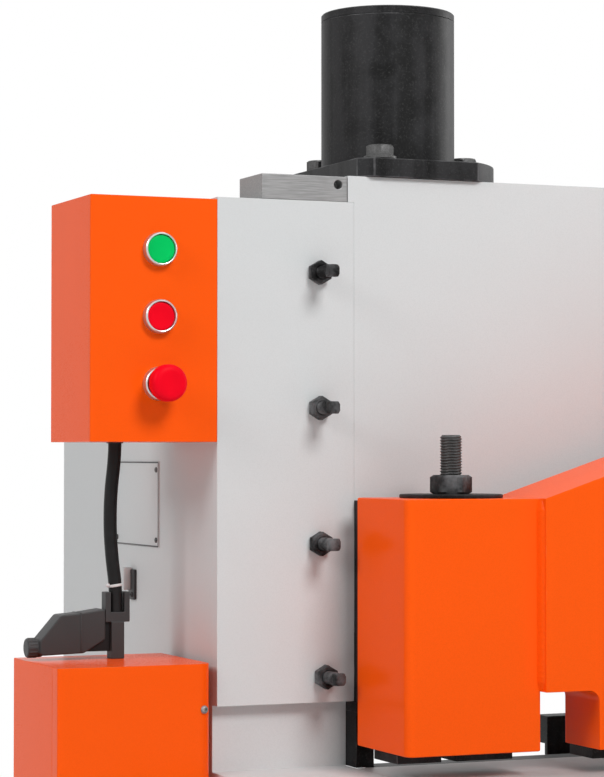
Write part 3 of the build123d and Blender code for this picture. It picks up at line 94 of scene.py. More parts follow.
# %% Sockets that do arithmetic
class Wire:
    """An output socket in a shader tree. Arithmetic on it adds Math nodes."""

    def __init__(self, tree, socket=None):
        self.tree = tree
        self.socket = socket

    def node(self, kind, settings=None, sockets=None, out=0):
        """Adds a node: first its settings, then the values or wires of its sockets."""
        made = self.tree.nodes.new(kind)
        for name, value in (settings or {}).items():
            setattr(made, name, value)
        for name, value in (sockets or {}).items():
            if isinstance(value, Wire):
                self.tree.links.new(value.socket, made.inputs[name])
            else:
                made.inputs[name].default_value = value
        return Wire(self.tree, made.outputs[out]) if made.outputs else None

    def math(self, operation, first, second):
        return self.node("ShaderNodeMath", {"operation": operation}, {0: first, 1: second})

    def __add__(self, other):
        return self.math("ADD", self, other)

    def __radd__(self, other):
        return self.math("ADD", other, self)

    def __sub__(self, other):
        return self.math("SUBTRACT", self, other)

    def __rsub__(self, other):
        return self.math("SUBTRACT", other, self)

    def __mul__(self, other):
        return self.math("MULTIPLY", self, other)

    def __rmul__(self, other):
        return self.math("MULTIPLY", other, self)

    def fade(self, low, high):
        """0 below low, 1 above high and smooth between."""
        return self.node(
            "ShaderNodeMapRange",
            {"interpolation_type": "SMOOTHSTEP"},
            {"Value": self, "From Min": low, "From Max": high},
        )

    def mix(self, under, over):
        """A colour that goes from under to over as this wire goes from 0 to 1."""
        return self.node("ShaderNodeMix", {"data_type": "RGBA"}, {0: self, 6: under, 7: over}, out=2)

    def noise(self, scale, detail, stretch=(1.0, 1.0, 1.0), roughness=0.5):
        """Noise with scale cells a metre, in the machine's own frame."""
        place = self.node("ShaderNodeTexCoord", out="Object")
        stretched = self.node("ShaderNodeVectorMath", {"operation": "MULTIPLY"}, {0: place, 1: stretch})
        return self.node(
            "ShaderNodeTexNoise",
            sockets={"Vector": stretched, "Scale": scale, "Detail": detail, "Roughness": roughness},
        )


print("operators on wires:", [name for name in vars(Wire) if name.startswith("__r")])

# %% [markdown]
# Each finish is a function that builds one material. All of them start from an empty tree and end in one shader, so
# those two steps are helpers. How strongly a surface mirrors its surroundings is one number for the whole finish,
# and such a number goes straight on the shader's own socket. Worn edges are known from the mesh: the rounding of
# the plates, further down, writes an attribute named edge on the rounded faces.

# %% Start and end of a finish
edge_layer = "edge"
finishes = {}


def white(level):
    return (level, level, level, 1.0)


def shade(colour, level):
    """The colour with its brightness changed."""
    return tuple(channel * level for channel in colour) + (1.0,)


def start_finish(name):
    """Adds a material with an empty tree to the finishes and gives the start of its wires."""
    finish = bpy.data.materials.new(name)
    finish.use_nodes = True
    finish.node_tree.nodes.clear()
    finishes[name] = finish
    return Wire(finish.node_tree)


def close_finish(start, mirror=0.5, **sockets):
    """Ends a finish with its shader. Underscores in the names stand for spaces."""
    named = {name.replace("_", " "): value for name, value in sockets.items()}
    shader = start.node("ShaderNodeBsdfPrincipled", sockets={"Specular IOR Level": mirror, **named})
    start.node("ShaderNodeOutputMaterial", sockets={"Surface": shader})


def bump(start, height, strength, distance):
    return start.node(
        "ShaderNodeBump", sockets={"Height": height, "Strength": strength, "Distance": distance}
    )


def marked_edges(start):
    """1 on rounded faces, more on pieces that hands and keys rub, and 0 elsewhere."""
    return start.node("ShaderNodeAttribute", {"attribute_name": edge_layer}, out="Fac")


print("worn faces carry the attribute", edge_layer)

# %% [markdown]
# Paint on a machine is never one flat colour: it has a fine peel, tones that drift over a plate, and edges where
# the film is thinner. An image could show that, but noise in the machine's own frame fits every plate without a
# seam. The orange pieces also have a thin clear lacquer, which gives them their soft shine.

# %% Paint
lacquer_roughness = 0.15
lacquer_ior = 1.25


def painted(name, colour, roughness, mirror, worn=(0.30, 0.30, 0.30), wear=0.25, lacquer=0.0):
    """Sprayed paint: drifting tone, fine grain, orange peel, and a thin film on the edges."""
    start = start_finish(name)
    drift = start.noise(3.0, 3.0)
    grain = start.noise(900.0, 1.0)
    peel = start.noise(260.0, 2.0)
    tone = drift.fade(0.3, 0.7).mix(shade(colour, 0.965), shade(colour, 1.02))
    grained = (grain.fade(0.35, 0.75) * 0.5).mix(tone, shade(colour, 0.93))
    rubbed = marked_edges(start) * start.noise(45.0, 4.0, roughness=0.7).fade(0.52, 0.72) * wear
    close_finish(
        start,
        mirror,
        Base_Color=rubbed.mix(grained, worn + (1.0,)),
        Roughness=roughness + 0.12 * drift + 0.05 * grain - 0.06,
        Coat_Weight=lacquer,
        Coat_Roughness=lacquer_roughness,
        Coat_IOR=lacquer_ior,
        Normal=bump(start, peel, strength=0.12, distance=0.4 * mm),
    )


orange = (0.955, 0.100, 0.0045)
worn_orange = (0.75, 0.2, 0.06)
painted("gray_paint", (0.620, 0.637, 0.641), roughness=0.48, mirror=0.25)
painted("orange_paint", orange, roughness=0.26, mirror=0.02, worn=worn_orange, wear=0.3, lacquer=0.27)
painted("motor_paint", (0.10, 0.16, 0.22), roughness=0.45, mirror=0.3)
print("paints:", sorted(finishes))

# %% [markdown]
# Steel without thick paint shows how it was made. Ground faces have marks along the stroke of the wheel under a film
# of old oil, and castings a sandy skin. Blackened steel is rubbed to gray where hands and keys touch it and has
# specks of dust. Its tone also has painted reflection: light and dark bands from one noise drawn out along the
# upright axis stand in for soft reflections.


# %% Ground, cast and blackened metal
def ground_steel(name, dark, bright, roughness, metal, stain, along=(1.0, 1.0, 1.0)):
    """Bare steel with grinding marks along one direction and a film of old oil."""
    start = start_finish(name)
    marks = start.noise(900.0, 3.0, stretch=along)
    film = start.noise(14.0, 4.0, roughness=0.65)
    steel = (0.5 * marks + 0.5 * film).fade(0.3, 0.7).mix(white(dark), white(bright))
    close_finish(
        start,
        mirror=0.3,
        Base_Color=(film.fade(0.45, 0.75) * stain).mix(steel, (0.5 * dark, 0.48 * dark, 0.45 * dark, 1.0)),
        Roughness=roughness + 0.18 * film + 0.08 * marks - 0.1,
        Metallic=metal - 0.4 * metal * film.fade(0.5, 0.8),
        Normal=bump(start, marks, strength=0.12, distance=0.05 * mm),
    )


def cast(name, colour, roughness):
    """A painted casting: a rough skin under the paint."""
    start = start_finish(name)
    sand = start.noise(180.0, 4.0, roughness=0.65)
    drift = start.noise(7.0, 3.0)
    close_finish(
        start,
        mirror=0.3,
        Base_Color=drift.fade(0.3, 0.7).mix(shade(colour, 0.88), shade(colour, 1.08)),
        Roughness=roughness + 0.15 * sand - 0.07,
        Normal=bump(start, sand, strength=0.3, distance=0.5 * mm),
    )


def blackened(name, colour, rubbed, roughness):
    """Black oxide or thin black paint: rubbed to gray on the edges, with dust and painted reflection bands."""
    start = start_finish(name)
    film = start.noise(38.0, 4.0, roughness=0.6)
    painted_reflection_bands = start.noise(42.0, 3.0, stretch=(1.0, 1.0, 0.05), roughness=0.6)
    grain = start.noise(700.0, 2.0)
    dust = start.noise(520.0, 3.0, roughness=0.7).fade(0.5, 0.72)
    # painted reflection: the upright bands in this tone stand in for soft reflections
    tone = (0.4 * film + 0.6 * painted_reflection_bands).fade(0.4, 0.62).mix(shade(colour, 0.2), shade(colour, 2.6))
    dusty = (dust * 0.5).mix(tone, white(0.05))
    close_finish(
        start,
        mirror=0.15,
        Base_Color=(marked_edges(start) * film.fade(0.4, 0.7) * 0.5).mix(dusty, rubbed + (1.0,)),
        Roughness=roughness + 0.22 * film + 0.06 * grain - 0.12,
        Normal=bump(start, grain, strength=0.12, distance=0.1 * mm),
    )


blackened("black_steel", (0.008, 0.008, 0.0085), rubbed=(0.16, 0.16, 0.165), roughness=0.46)
ground_steel("bare_steel", dark=0.20, bright=0.35, roughness=0.46, metal=0.35, stain=0.25, along=(0.06, 1.0, 1.0))
ground_steel("oiled_steel", dark=0.05, bright=0.12, roughness=0.44, metal=0.4, stain=0.4)
ground_steel("table_steel", dark=0.47, bright=0.63, roughness=0.5, metal=0.3, stain=0.35, along=(0.04, 1.0, 1.0))
cast("cast_iron", (0.10, 0.105, 0.11), roughness=0.55)
print("paints and metals:", len(finishes))

# %% [markdown]
# Plated, moulded and rubber pieces are smoother. Chrome gets only faint wipe marks, moulded plastic a spark-eroded
# grain, and rubber a bloom that lifts its blacks. These marks could be scratches drawn by hand, but at this distance
# noise at the right scale looks the same. How metallic a ring is stays one number on the shader.


# %% Plated, moulded and rubber finishes
def plated(name, level, roughness, metal):
    start = start_finish(name)
    wiped = start.noise(120.0, 3.0, stretch=(1.0, 1.0, 0.2))
    close_finish(
        start,
        Base_Color=wiped.fade(0.2, 0.8).mix(white(level * 0.94), white(level)),
        Metallic=metal,
        Roughness=roughness + 0.1 * wiped - 0.05,
        Normal=bump(start, wiped, strength=0.03, distance=0.05 * mm),
    )


def moulded(name, colour, roughness, grain_depth, mirror):
    start = start_finish(name)
    grain = start.noise(1400.0, 2.0)
    drift = start.noise(30.0, 2.0)
    close_finish(
        start,
        mirror,
        Base_Color=drift.fade(0.25, 0.75).mix(shade(colour, 0.92), shade(colour, 1.06)),
        Roughness=roughness + 0.1 * drift - 0.05,
        Normal=bump(start, grain, strength=grain_depth, distance=0.06 * mm),
    )


def rubber(name, colour, bloom, roughness):
    start = start_finish(name)
    cloud = start.noise(60.0, 4.0, roughness=0.65)
    grain = start.noise(1100.0, 2.0)
    close_finish(
        start,
        mirror=0.2,
        Base_Color=cloud.fade(0.35, 0.8).mix(shade(colour, 1.0), bloom + (1.0,)),
        Roughness=roughness + 0.15 * cloud - 0.08,
        Normal=bump(start, grain, strength=0.15, distance=0.08 * mm),
    )


plated("chromed_rod", level=0.55, roughness=0.16, metal=1.0)
plated("bezel_metal", level=0.6, roughness=0.3, metal=0.85)
moulded("black_plastic", (0.034, 0.034, 0.035), roughness=0.5, grain_depth=0.2, mirror=0.3)
moulded("green_plastic", (0.0005, 0.53, 0.11), roughness=0.42, grain_depth=0.04, mirror=0.05)
moulded("red_plastic", (0.86, 0.0012, 0.014), roughness=0.42, grain_depth=0.04, mirror=0.05)
rubber("spring_rubber", (0.50, 0.29, 0.05), bloom=(0.56, 0.36, 0.10), roughness=0.5)
rubber("conduit_rubber", (0.005, 0.005, 0.005), bloom=(0.011, 0.011, 0.012), roughness=0.5)
for name, node in nodes.items():
    node.data.materials.clear()
    node.data.materials.append(finishes[slot_of[name]])
print("finishes:", len(finishes), "given to", len(nodes), "nodes")

# %% [markdown]
# The conduit is a short stiff lead from the push-button box down to its plug. A tube of straight runs would look
# like bent wire, so it is a curve: the points of its route are the control points of a smooth NURBS line, which
# Blender gives a round section.

# %% Conduit
conduit_diameter = 12 * mm
conduit_route = [
    (-0.8650, -0.0525, 1.1115),
    (-0.8650, -0.0525, 1.0995),
    (-0.8686, -0.0517, 1.0675),
    (-0.8689, -0.0505, 1.0355),
    (-0.8662, -0.0493, 1.0055),
    (-0.8625, -0.0485, 0.9820),
    (-0.8625, -0.0485, 0.9600),
]

line = bpy.data.curves.new("conduit_sleeve", "CURVE")
line.dimensions = "3D"
line.bevel_depth = conduit_diameter / 2
line.bevel_resolution = 8
line.use_fill_caps = True
spline = line.splines.new("NURBS")
spline.points.add(len(conduit_route) - 1)
for point, place in zip(spline.points, conduit_route):
    point.co = (*place, 1.0)
spline.order_u = 3
spline.use_endpoint_u = True
spline.resolution_u = 16
line.materials.append(finishes["conduit_rubber"])
conduit = bpy.data.objects.new("conduit_sleeve", line)
bpy.context.scene.collection.objects.link(conduit)
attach(conduit, "frame")
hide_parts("conduit")
print("conduit with", len(conduit_route), "route points")

# %% [markdown]
# Pieces are made as a bmesh, which is Blender's mesh for editing, and then become objects. Each rides on a body of
# the machine, takes the finish of a slot and may stand for nodes of the model. A piece can also start from the
# model's own triangles. Merged back into flat faces, they are as easy to work on as a mesh made by hand.

# %% From a bmesh to a piece
join_distance = 0.002 * mm
flat_angle = math.radians(0.5)
smooth_angle = math.radians(35.0)


def add_piece(name, work, body, slot, *stands_for, smooth=smooth_angle):
    """Turns a bmesh into a piece that rides on a body, has the finish of a slot and may stand for nodes."""
    bmesh.ops.recalc_face_normals(work, faces=work.faces)
    mesh = bpy.data.meshes.new(name)
    work.to_mesh(mesh)
    work.free()
    mesh.shade_smooth()
    mesh.set_sharp_from_angle(angle=smooth)
    mesh.materials.append(finishes[slot])
    piece = bpy.data.objects.new(name, mesh)
    bpy.context.scene.collection.objects.link(piece)
    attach(piece, body)
    if stands_for:
        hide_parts(*stands_for)
    return piece


def flat_faced(node, keep=None):
    """A bmesh of a node with its triangles merged into flat faces, or of the triangles that keep accepts."""
    work = bmesh.new()
    source = nodes[node].data
    made = [work.verts.new(vert.co) for vert in source.vertices]
    for polygon in source.polygons:
        if keep is None or keep(polygon.center):
            work.faces.new([made[index] for index in polygon.vertices])
    bmesh.ops.delete(work, geom=[vert for vert in work.verts if not vert.link_faces], context="VERTS")
    bmesh.ops.remove_doubles(work, verts=work.verts, dist=join_distance)
    bmesh.ops.dissolve_limit(work, angle_limit=flat_angle, verts=work.verts, edges=work.edges)
    return work


merged = flat_faced("front_plate")
print("front plate:", len(nodes["front_plate"].data.polygons), "triangles,", len(merged.faces), "flat faces")
merged.free()

# %% [markdown]
# Sheared and ground plates have no razor edges: a file or a grinder breaks them, and the line of light on that
# break is what makes a plate look like steel. A bevel modifier could do it, but working on the mesh directly also
# lets the rounded faces be marked for the worn paint.

# %% Rounded plate edges
sharp_angle = math.radians(28.0)
hand_rub = 1.7


def break_edges(work, width):
    """Rounds the sharp edges of a bmesh and marks the new faces as edge."""
    layer = work.faces.layers.float.new(edge_layer)
    sharp = [edge for edge in work.edges if edge.is_manifold and edge.calc_face_angle() > sharp_angle]
    rounded = bmesh.ops.bevel(
        work, geom=sharp, offset=width, offset_type="OFFSET", segments=2, profile=0.5, affect="EDGES"
    )
    for face in rounded["faces"]:
        face[layer] = 1.0


def rub_all(work):
    """Marks every face of a bmesh as edge, and more strongly: hands and keys rub it bright."""
    layer = work.faces.layers.float.new(edge_layer)
    for face in work.faces:
        face[layer] = hand_rub


def soften(node, width, name=None, slot=None, keep=None):
    """Adds a piece that stands for a node, or for the part of it that keep accepts, with its edges rounded."""
    work = flat_faced(node, keep)
    break_edges(work, width)
    piece = add_piece(name or "soft_" + node, work, body_of[node], slot or slot_of[node], node)
    even = piece.modifiers.new("even_shading", "WEIGHTED_NORMAL")
    even.keep_sharp = True


edge_widths = {  # in millimetres
    0.3: "upper_blade lower_blade scrap_chute side_stops guide_plates front_plate",
    0.7: "left_side_frame right_side_frame button_box cabinet cabinet_cover plug_base gauge_bar rear_guides gib_strips",
    1.0: "guide_caps crown_plate table_plate tank_lid guide_shoes cylinders solenoid_valve",
    1.5: "rear_stiffener bed_beam bed_gussets blade_beam tie_bars clamp_cylinders left_gauge_knob right_gauge_knob "
    "plug_hood gauge_carriages oil_tank valve_block pump",
}
for width, names in edge_widths.items():
    for name in names.split():
        soften(name, width * mm)
print("rounded", sum(len(names.split()) for names in edge_widths.values()), "nodes")

# %% [markdown]
# The hold-down has two colours: orange boxes and beam, and black steel pads under them. The pads' black is partly
# their own colour and partly painted shade for the deep shade under the hold-down. Both are solids of the same
# nodes, so each node is dressed twice, once with the triangles above the pads' upper faces and once with those below.

# %% Hold-down and its pads
pad_line = 841.95 * mm
pad_edge = 0.6 * mm


def above_pads(place):
    return place.z > pad_line


def in_pads(place):
    return place.z < pad_line


for node, width in (("hold_down_boxes", 1.6 * mm), ("hold_down_beam", 0.8 * mm)):
    soften(node, width, "orange_" + node, keep=above_pads)
    # black steel pads: partly their own colour, partly painted shade under the hold-down
    soften(node, pad_edge, "pads_with_painted_shade_of_" + node, "black_steel", in_pads)
print("hold-down boxes, beam and pads")

# %% [markdown]
# Nuts, screws, rings and knobs are all turned about an axis, so one helper revolves a profile of (radius, distance
# along) points. A second function may cap the radius by angle and distance: flats make a hexagon of it, and a
# thread cuts a helical groove. So a nut is a bevelled disc with six flats, as on the lathe and the milling machine.


# %% Turned pieces
def facing(place, direction):
    """A frame at place whose Z axis points in a direction."""
    return Matrix.Translation(place) @ Vector(direction).to_track_quat("Z", "Y").to_matrix().to_4x4()


def skin(work, loops, ring):
    """Faces between loops of points. A ring joins the last loop to the first, else both ends are closed."""
    made = [[work.verts.new(point) for point in loop] for loop in loops]
    pairs = list(zip(made, made[1:]))
    if ring:
        pairs.append((made[-1], made[0]))
    else:
        work.faces.new(made[0])
        work.faces.new(made[-1])
    for lower, upper in pairs:
        for index in range(len(lower)):
            after = (index + 1) % len(lower)
            work.faces.new((lower[index], lower[after], upper[after], upper[index]))


def turn(work, axis, profile, steps=48, cap=None, ring=False):
    """Revolves (radius, along) points about the Z axis of a frame."""
    loops = []
    for radius, along in profile:
        loop = []
        for step in range(steps):
            angle = math.tau * step / steps
            reach = min(radius, cap(angle, along)) if cap else radius
            loop.append(axis @ Vector((reach * math.cos(angle), reach * math.sin(angle), along)))
        loops.append(loop)
    skin(work, loops, ring)


def flats(count, across, corner=0.0):
    """Caps a radius to a regular polygon with one corner at the given angle."""
    part = math.tau / count
    return lambda angle, along: across / 2 / math.cos((angle - corner) % part - part / 2)


def thread(radius, pitch):
    """Caps a radius to a single-start thread of the standard depth."""
    depth = 0.61 * pitch
    return lambda angle, along: radius - depth * abs((along / pitch - angle / math.tau) % 1.0 * 2 - 1)


def scaled(shape, unit):
    """A profile whose numbers are given in a unit."""
    return [(radius * unit, along * unit) for radius, along in shape]


print("a hexagon of 19 mm reaches", round(flats(6, 19.0)(0.0, 0.0), 2), "mm from its axis at a corner")

# %% [markdown]
# Small parts come in sets: one node of the model holds all lock nuts, another all screws. Their places could be typed
# in, but read from the model they stay right when it changes. Points that edges join belong to one solid, and a
# solid's lowest and highest corners say where it is and how long.


# %% Places from the model
def solids_of(node):
    """The (low, high) corners of each separate solid of a node, in a fixed order."""
    work = flat_faced(node)
    seen = set()
    boxes = []
    for vert in work.verts:
        if vert in seen:
            continue
        seen.add(vert)
        group = [vert]
        for member in group:
            for edge in member.link_edges:
                other = edge.other_vert(member)
                if other not in seen:
                    seen.add(other)
                    group.append(other)
        boxes.append([Vector([pick(v.co[axis] for v in group) for axis in range(3)]) for pick in (min, max)])
    work.free()
    return sorted(boxes, key=lambda box: tuple(box[0]))


def box_of(node):
    """The (low, high) corners of a whole node."""
    return [Vector(corner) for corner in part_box(node)]


def centred(low, high, x=None, y=None, z=None):
    """The middle of a box, apart from the coordinates that are given."""
    given = (x, y, z)
    return Vector([(low[axis] + high[axis]) / 2 if given[axis] is None else given[axis] for axis in range(3)])


print("gib nuts:", len(solids_of("gib_nuts")), "flange bolts:", len(solids_of("flange_bolts")))

# %% [markdown]
# Gib screws press the guide strips against the blade beam's shoes. Each has a thread, a square end for the key and
# a lock nut with corners bevelled to 30 degrees. Bump could hint at the thread, but a real groove also shows in the
# outline. Places and lengths come from the model's own solids.

# %% Gib screws and their nuts
to_front = Vector((0.0, -1.0, 0.0))
upwards = Vector((0.0, 0.0, 1.0))


def hexagon(across, face):
    """The radius at a hexagon's corners, and the height of its 30 degree bevel down to the radius of its face."""
    corner = across / math.sqrt(3) + 0.02 * mm
    return corner, (corner - face) * math.tan(math.radians(30.0))


def nut_profile(across, thick, bore):
    """Outline of a nut's section: bevelled outside, countersunk bore."""
    face = 0.475 * across
    corner, bevel = hexagon(across, face)
    sink = 0.04 * across
    return [
        (bore, sink),
        (bore + sink, 0.0),
        (face, 0.0),
        (corner, bevel),
        (corner, thick - bevel),
        (face, thick),
        (bore + sink, thick),
        (bore, thick - sink),
    ]


def thread_profile(radius, pitch, start, end):
    """Outline of a threaded length, with a blunt point at its end and six rings to a turn."""
    rings = math.ceil((end - start) / pitch * 6)
    marks = [start + (end - start) * ring / rings for ring in range(rings + 1)]
    return [(min(radius, radius - 0.9 * pitch + end - mark), mark) for mark in marks]


screw_radius = 6 * mm
screw_pitch = 1.75 * mm
bare_radius = 5.9 * mm
bare_length = 30 * mm
nut_across = 19 * mm
nut_bore = 6.05 * mm
nut_corner = math.radians(30.0)
square_across = 11 * mm
square_length = 8 * mm
square_corner = math.radians(45.0)
nuts = bmesh.new()
screws = bmesh.new()
for low, high in solids_of("gib_nuts"):
    axis = facing(centred(low, high, y=high.y), to_front)
    profile = nut_profile(nut_across, high.y - low.y, nut_bore)
    turn(nuts, axis, profile, cap=flats(6, nut_across, nut_corner), ring=True)
for low, high in solids_of("gib_screws"):
    axis = facing(centred(low, high, y=high.y), to_front)
    length = high.y - low.y
    shoulder = length - square_length
    turn(screws, axis, [(bare_radius, 0.0), (bare_radius, bare_length)], 24)
    profile = thread_profile(screw_radius, screw_pitch, bare_length, shoulder)
    turn(screws, axis, profile, 24, thread(screw_radius, screw_pitch))
    square = [
        (5.0 * mm, shoulder),
        (7.4 * mm, shoulder + 1 * mm),
        (7.2 * mm, length - 3 * mm),
        (6.2 * mm, length - 1.2 * mm),
        (4.0 * mm, length),
    ]
    turn(screws, axis, square, cap=flats(4, square_across, square_corner))
rub_all(nuts)
rub_all(screws)
add_piece("gib_lock_nuts", nuts, "frame", "black_steel", "gib_nuts")
add_piece("gib_set_screws", screws, "frame", "black_steel", "gib_screws")
print("gib screws with a pitch of", screw_pitch / mm, "mm")

# %% [markdown]
# The hold-down hangs on two thick studs. A wide washer spreads the pull over the box's top, and a tall nut sits on
# it. The same helpers make them, with a coarser thread that shows from a few steps away.

# %% Studs, nuts and washers of the hold-down
stud_radius = 10 * mm
stud_pitch = 2.5 * mm
stud_nut_across = 33 * mm
stud_nut_bore = 10.1 * mm
stud_nut_corner = math.radians(37.0)
washer_bore = 10.3 * mm
washer_edge = 0.8 * mm
studs = bmesh.new()
stud_nuts = bmesh.new()
washers = bmesh.new()
for low, high in solids_of("clamp_studs"):
    axis = facing(centred(low, high, z=low.z), upwards)
    profile = thread_profile(stud_radius, stud_pitch, 0.0, high.z - low.z)
    turn(studs, axis, profile, 32, thread(stud_radius, stud_pitch))
for low, high in solids_of("clamp_nuts"):
    axis = facing(centred(low, high, z=low.z), upwards)
    profile = nut_profile(stud_nut_across, high.z - low.z, stud_nut_bore)
    turn(stud_nuts, axis, profile, 72, flats(6, stud_nut_across, stud_nut_corner), ring=True)
for low, high in solids_of("clamp_washers"):
    axis = facing(centred(low, high, z=low.z), upwards)
    rim = (high.x - low.x) / 2
    inner = rim - washer_edge
    thick = high.z - low.z
    upper = thick - washer_edge
    profile = [(washer_bore, 0.0), (inner, 0.0), (rim, washer_edge), (rim, upper), (inner, thick)]
    turn(washers, axis, profile + [(washer_bore + washer_edge, thick), (washer_bore, upper)], 64, ring=True)
add_piece("hold_down_studs", studs, "hold_down", "oiled_steel", "clamp_studs")
rub_all(stud_nuts)
add_piece("hold_down_nuts", stud_nuts, "hold_down", "black_steel", "clamp_nuts")
add_piece("hold_down_washers", washers, "hold_down", "black_steel", "clamp_washers")
print("studs with a pitch of", stud_pitch / mm, "mm")

# %% [markdown]
# The return springs are sleeves of elastomer between a clamp cylinder and the top of its box. A sleeve bulges a
# little in the middle.

# %% Return springs
sleeve_bore = 11.5 * mm
sleeve_taper = 1.6 * mm
shares = [step / 10 for step in range(11)]
sleeves = bmesh.new()
for low, high in solids_of("clamp_springs"):
    axis = facing(centred(low, high, z=low.z), upwards)
    rim = (high.x - low.x) / 2
    tall = high.z - low.z
    outside = [(rim - sleeve_taper * abs(2 * share - 1) ** 3, tall * share) for share in shares]
    turn(sleeves, axis, outside + [(sleeve_bore, tall), (sleeve_bore, 0.0)], ring=True)
springs = add_piece("return_sleeves", sleeves, "frame", "spring_rubber", "clamp_springs")
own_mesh(springs)

# %% [markdown]
# The flange bolts of the cylinders are dark oiled steel, a little lighter than the tube. A bolt head is a nut
# without its bore: flat on top, with bevelled corners and a washer under it. One helper makes any hexagon head,
# because the machine has many: on the oil tank, on the pump and behind the blade beam.


# %% Hexagon heads
def hex_head(work, place, direction, across, head, washer=0.0, spread=1.25):
    """A hexagon head on its washer, standing on place."""
    axis = facing(place, direction)
    if washer:
        rim = spread * across / 2
        lip = 0.2 * washer
        turn(work, axis, [(rim - lip, 0.0), (rim, lip), (rim, washer - lip), (rim - lip, washer)])
    face = 0.47 * across
    corner, bevel = hexagon(across, face)
    sides = [(0.49 * across, washer), (corner, washer + 0.1 * mm), (corner, washer + head - bevel)]
    turn(work, axis, sides + [(face, washer + head)], cap=flats(6, across))


bolt_radius = 8 * mm
bolt_across = 24 * mm
bolt_head = 10 * mm
bolt_washer = 3 * mm
bolts = bmesh.new()
for low, high in solids_of("flange_bolts"):
    seat = high.z - bolt_head - bolt_washer
    axis = facing(centred(low, high, z=low.z), upwards)
    turn(bolts, axis, [(bolt_radius, 0.0), (bolt_radius, seat - low.z)], 32)
    hex_head(bolts, centred(low, high, z=seat), upwards, bolt_across, bolt_head, bolt_washer)
add_piece("flange_hex_bolts", bolts, "frame", "oiled_steel", "flange_bolts")
print("hexagon bolts on the flanges")

# %% [markdown]
# Push buttons come in standard rings for 22 mm holes. The ring is plated, with a rolled edge, and the cap sits just
# inside it with a shallow dish. The emergency stop has a wide mushroom head with a soft edge and a dished top.
# Profiles of a dozen points each, turned, give edges that catch the light as the real mouldings do.

# %% Push buttons
bezels = bmesh.new()
ring_edge = [(15.0, 0.0), (15.0, 5.6), (14.75, 6.9), (14.2, 7.8), (13.5, 8.2), (13.05, 8.05), (12.8, 7.6)]
ring_inside = [(12.8, 0.5), (8.3, 0.5), (8.3, -14.0), (10.9, -14.0), (10.9, 0.0)]
panel_face = -127.5 * mm
for low, high in solids_of("button_bezels"):
    axis = facing(centred(low, high, y=panel_face), to_front)
    turn(bezels, axis, scaled(ring_edge + ring_inside, mm), 64, ring=True)
add_piece("button_rings", bezels, "frame", "bezel_metal", "button_bezels")

cap_shape = [(8.0, -18.7), (8.0, 4.8), (12.4, 4.8), (12.5, 5.0), (12.5, 5.7), (12.2, 6.25), (11.6, 6.5)]
cap_shape += [(10.4, 6.62), (8.6, 6.5), (5.0, 6.4), (1.0, 6.4)]
head_shape = [(7.1, 26.2), (7.1, 18.0), (14.2, 18.0), (15.5, 18.4), (16.1, 19.3), (16.25, 20.4), (16.25, 26.6)]
head_shape += [(16.0, 28.2), (15.2, 29.8), (13.8, 31.0), (12.0, 31.7), (9.5, 32.0), (5.0, 31.6), (1.0, 31.5)]
for node, slot, shape in (
    ("green_button", "green_plastic", cap_shape),
    ("red_button", "red_plastic", cap_shape),
    ("stop_head", "red_plastic", head_shape),
):
    work = bmesh.new()
    axis = facing(centred(*box_of(node), y=panel_face), to_front)
    turn(work, axis, scaled(shape, mm), 64)
    add_piece("moulded_" + node, work, body_of[node], slot, node)
print("rings, two caps and a mushroom head")

# %% [markdown]
# Hexagon bolts hold the lid of the oil tank, the pump, the rear guides and the upper blade, and one closes the
# tank's drain. They could be instances of one mesh, but joined into one mesh for each body they stay easy to carry
# along with it: those behind the blade go up and down with the beam.

# %% Bolts of the frame and the blade beam
to_back = Vector((0.0, 1.0, 0.0))
to_right = Vector((1.0, 0.0, 0.0))
to_left = Vector((-1.0, 0.0, 0.0))
frame_bolts = bmesh.new()
lid_low, lid_high = box_of("tank_lid")
lid_margin = 10 * mm
for x in (-330 * mm, -110 * mm, 110 * mm, 330 * mm):
    for y in (lid_low.y + lid_margin, lid_high.y - lid_margin):
        place = Vector((x, y, lid_high.z))
        hex_head(frame_bolts, place, upwards, across=10 * mm, head=5 * mm, washer=1.2 * mm, spread=1.7)

pump_low, pump_high = box_of("pump")
flange_depth = 92 * mm
bolt_circle = 52 * mm
flange_middle = centred(pump_low, pump_high, x=pump_low.x + flange_depth)
for aside, up in ((1, 0), (0, 1), (-1, 0), (0, -1)):
    place = flange_middle + bolt_circle * Vector((0.0, aside, up))
    hex_head(frame_bolts, place, to_right, across=9 * mm, head=5 * mm)

for low, high in solids_of("rear_guides"):
    for z in (900 * mm, 1030 * mm, 1160 * mm, 1290 * mm):
        place = centred(low, high, y=high.y, z=z)
        hex_head(frame_bolts, place, to_back, across=19 * mm, head=8 * mm, washer=2.5 * mm)

tank_low, tank_high = box_of("oil_tank")
drain_height = 25 * mm
drain = centred(tank_low, tank_high, x=tank_low.x, z=tank_low.z + drain_height)
hex_head(frame_bolts, drain, to_left, across=22 * mm, head=9 * mm, washer=2 * mm, spread=1.4)
add_piece("frame_hex_bolts", frame_bolts, "frame", "black_steel")

blade_bolts = bmesh.new()
beam_back = -82.5 * mm
bolt_spacing = 180 * mm
middle_height = 905 * mm
blade_rake = 40 / 1290
for step in range(-3, 4):
    x = step * bolt_spacing
    place = Vector((x, beam_back, middle_height - x * blade_rake))
    hex_head(blade_bolts, place, to_back, across=19 * mm, head=7 * mm, washer=2.5 * mm)
add_piece("blade_hex_bolts", blade_bolts, "blade_beam", "black_steel")
print("bolts on the tank, the pump, the guides and the blade beam")

# %% [markdown]
# Welds join the frame: feet to side plates, the bed's web and gussets, tie bars and the rear stiffener. Two orange
# ones join the hold-down's beam to its boxes. A fillet weld is a bead with overlapping ripples. A smooth quarter
# round would look like putty, so each bead is a skin over many small sections whose size rises and falls every few
# millimetres.

# %% Fillet welds
weld_ripple = 5.0 * mm
weld_section = ((0, 1.0), (25, 0.86), (45, 0.81), (65, 0.86), (90, 1.0))  # degrees and share of the leg
weld_smooth = math.radians(50.0)


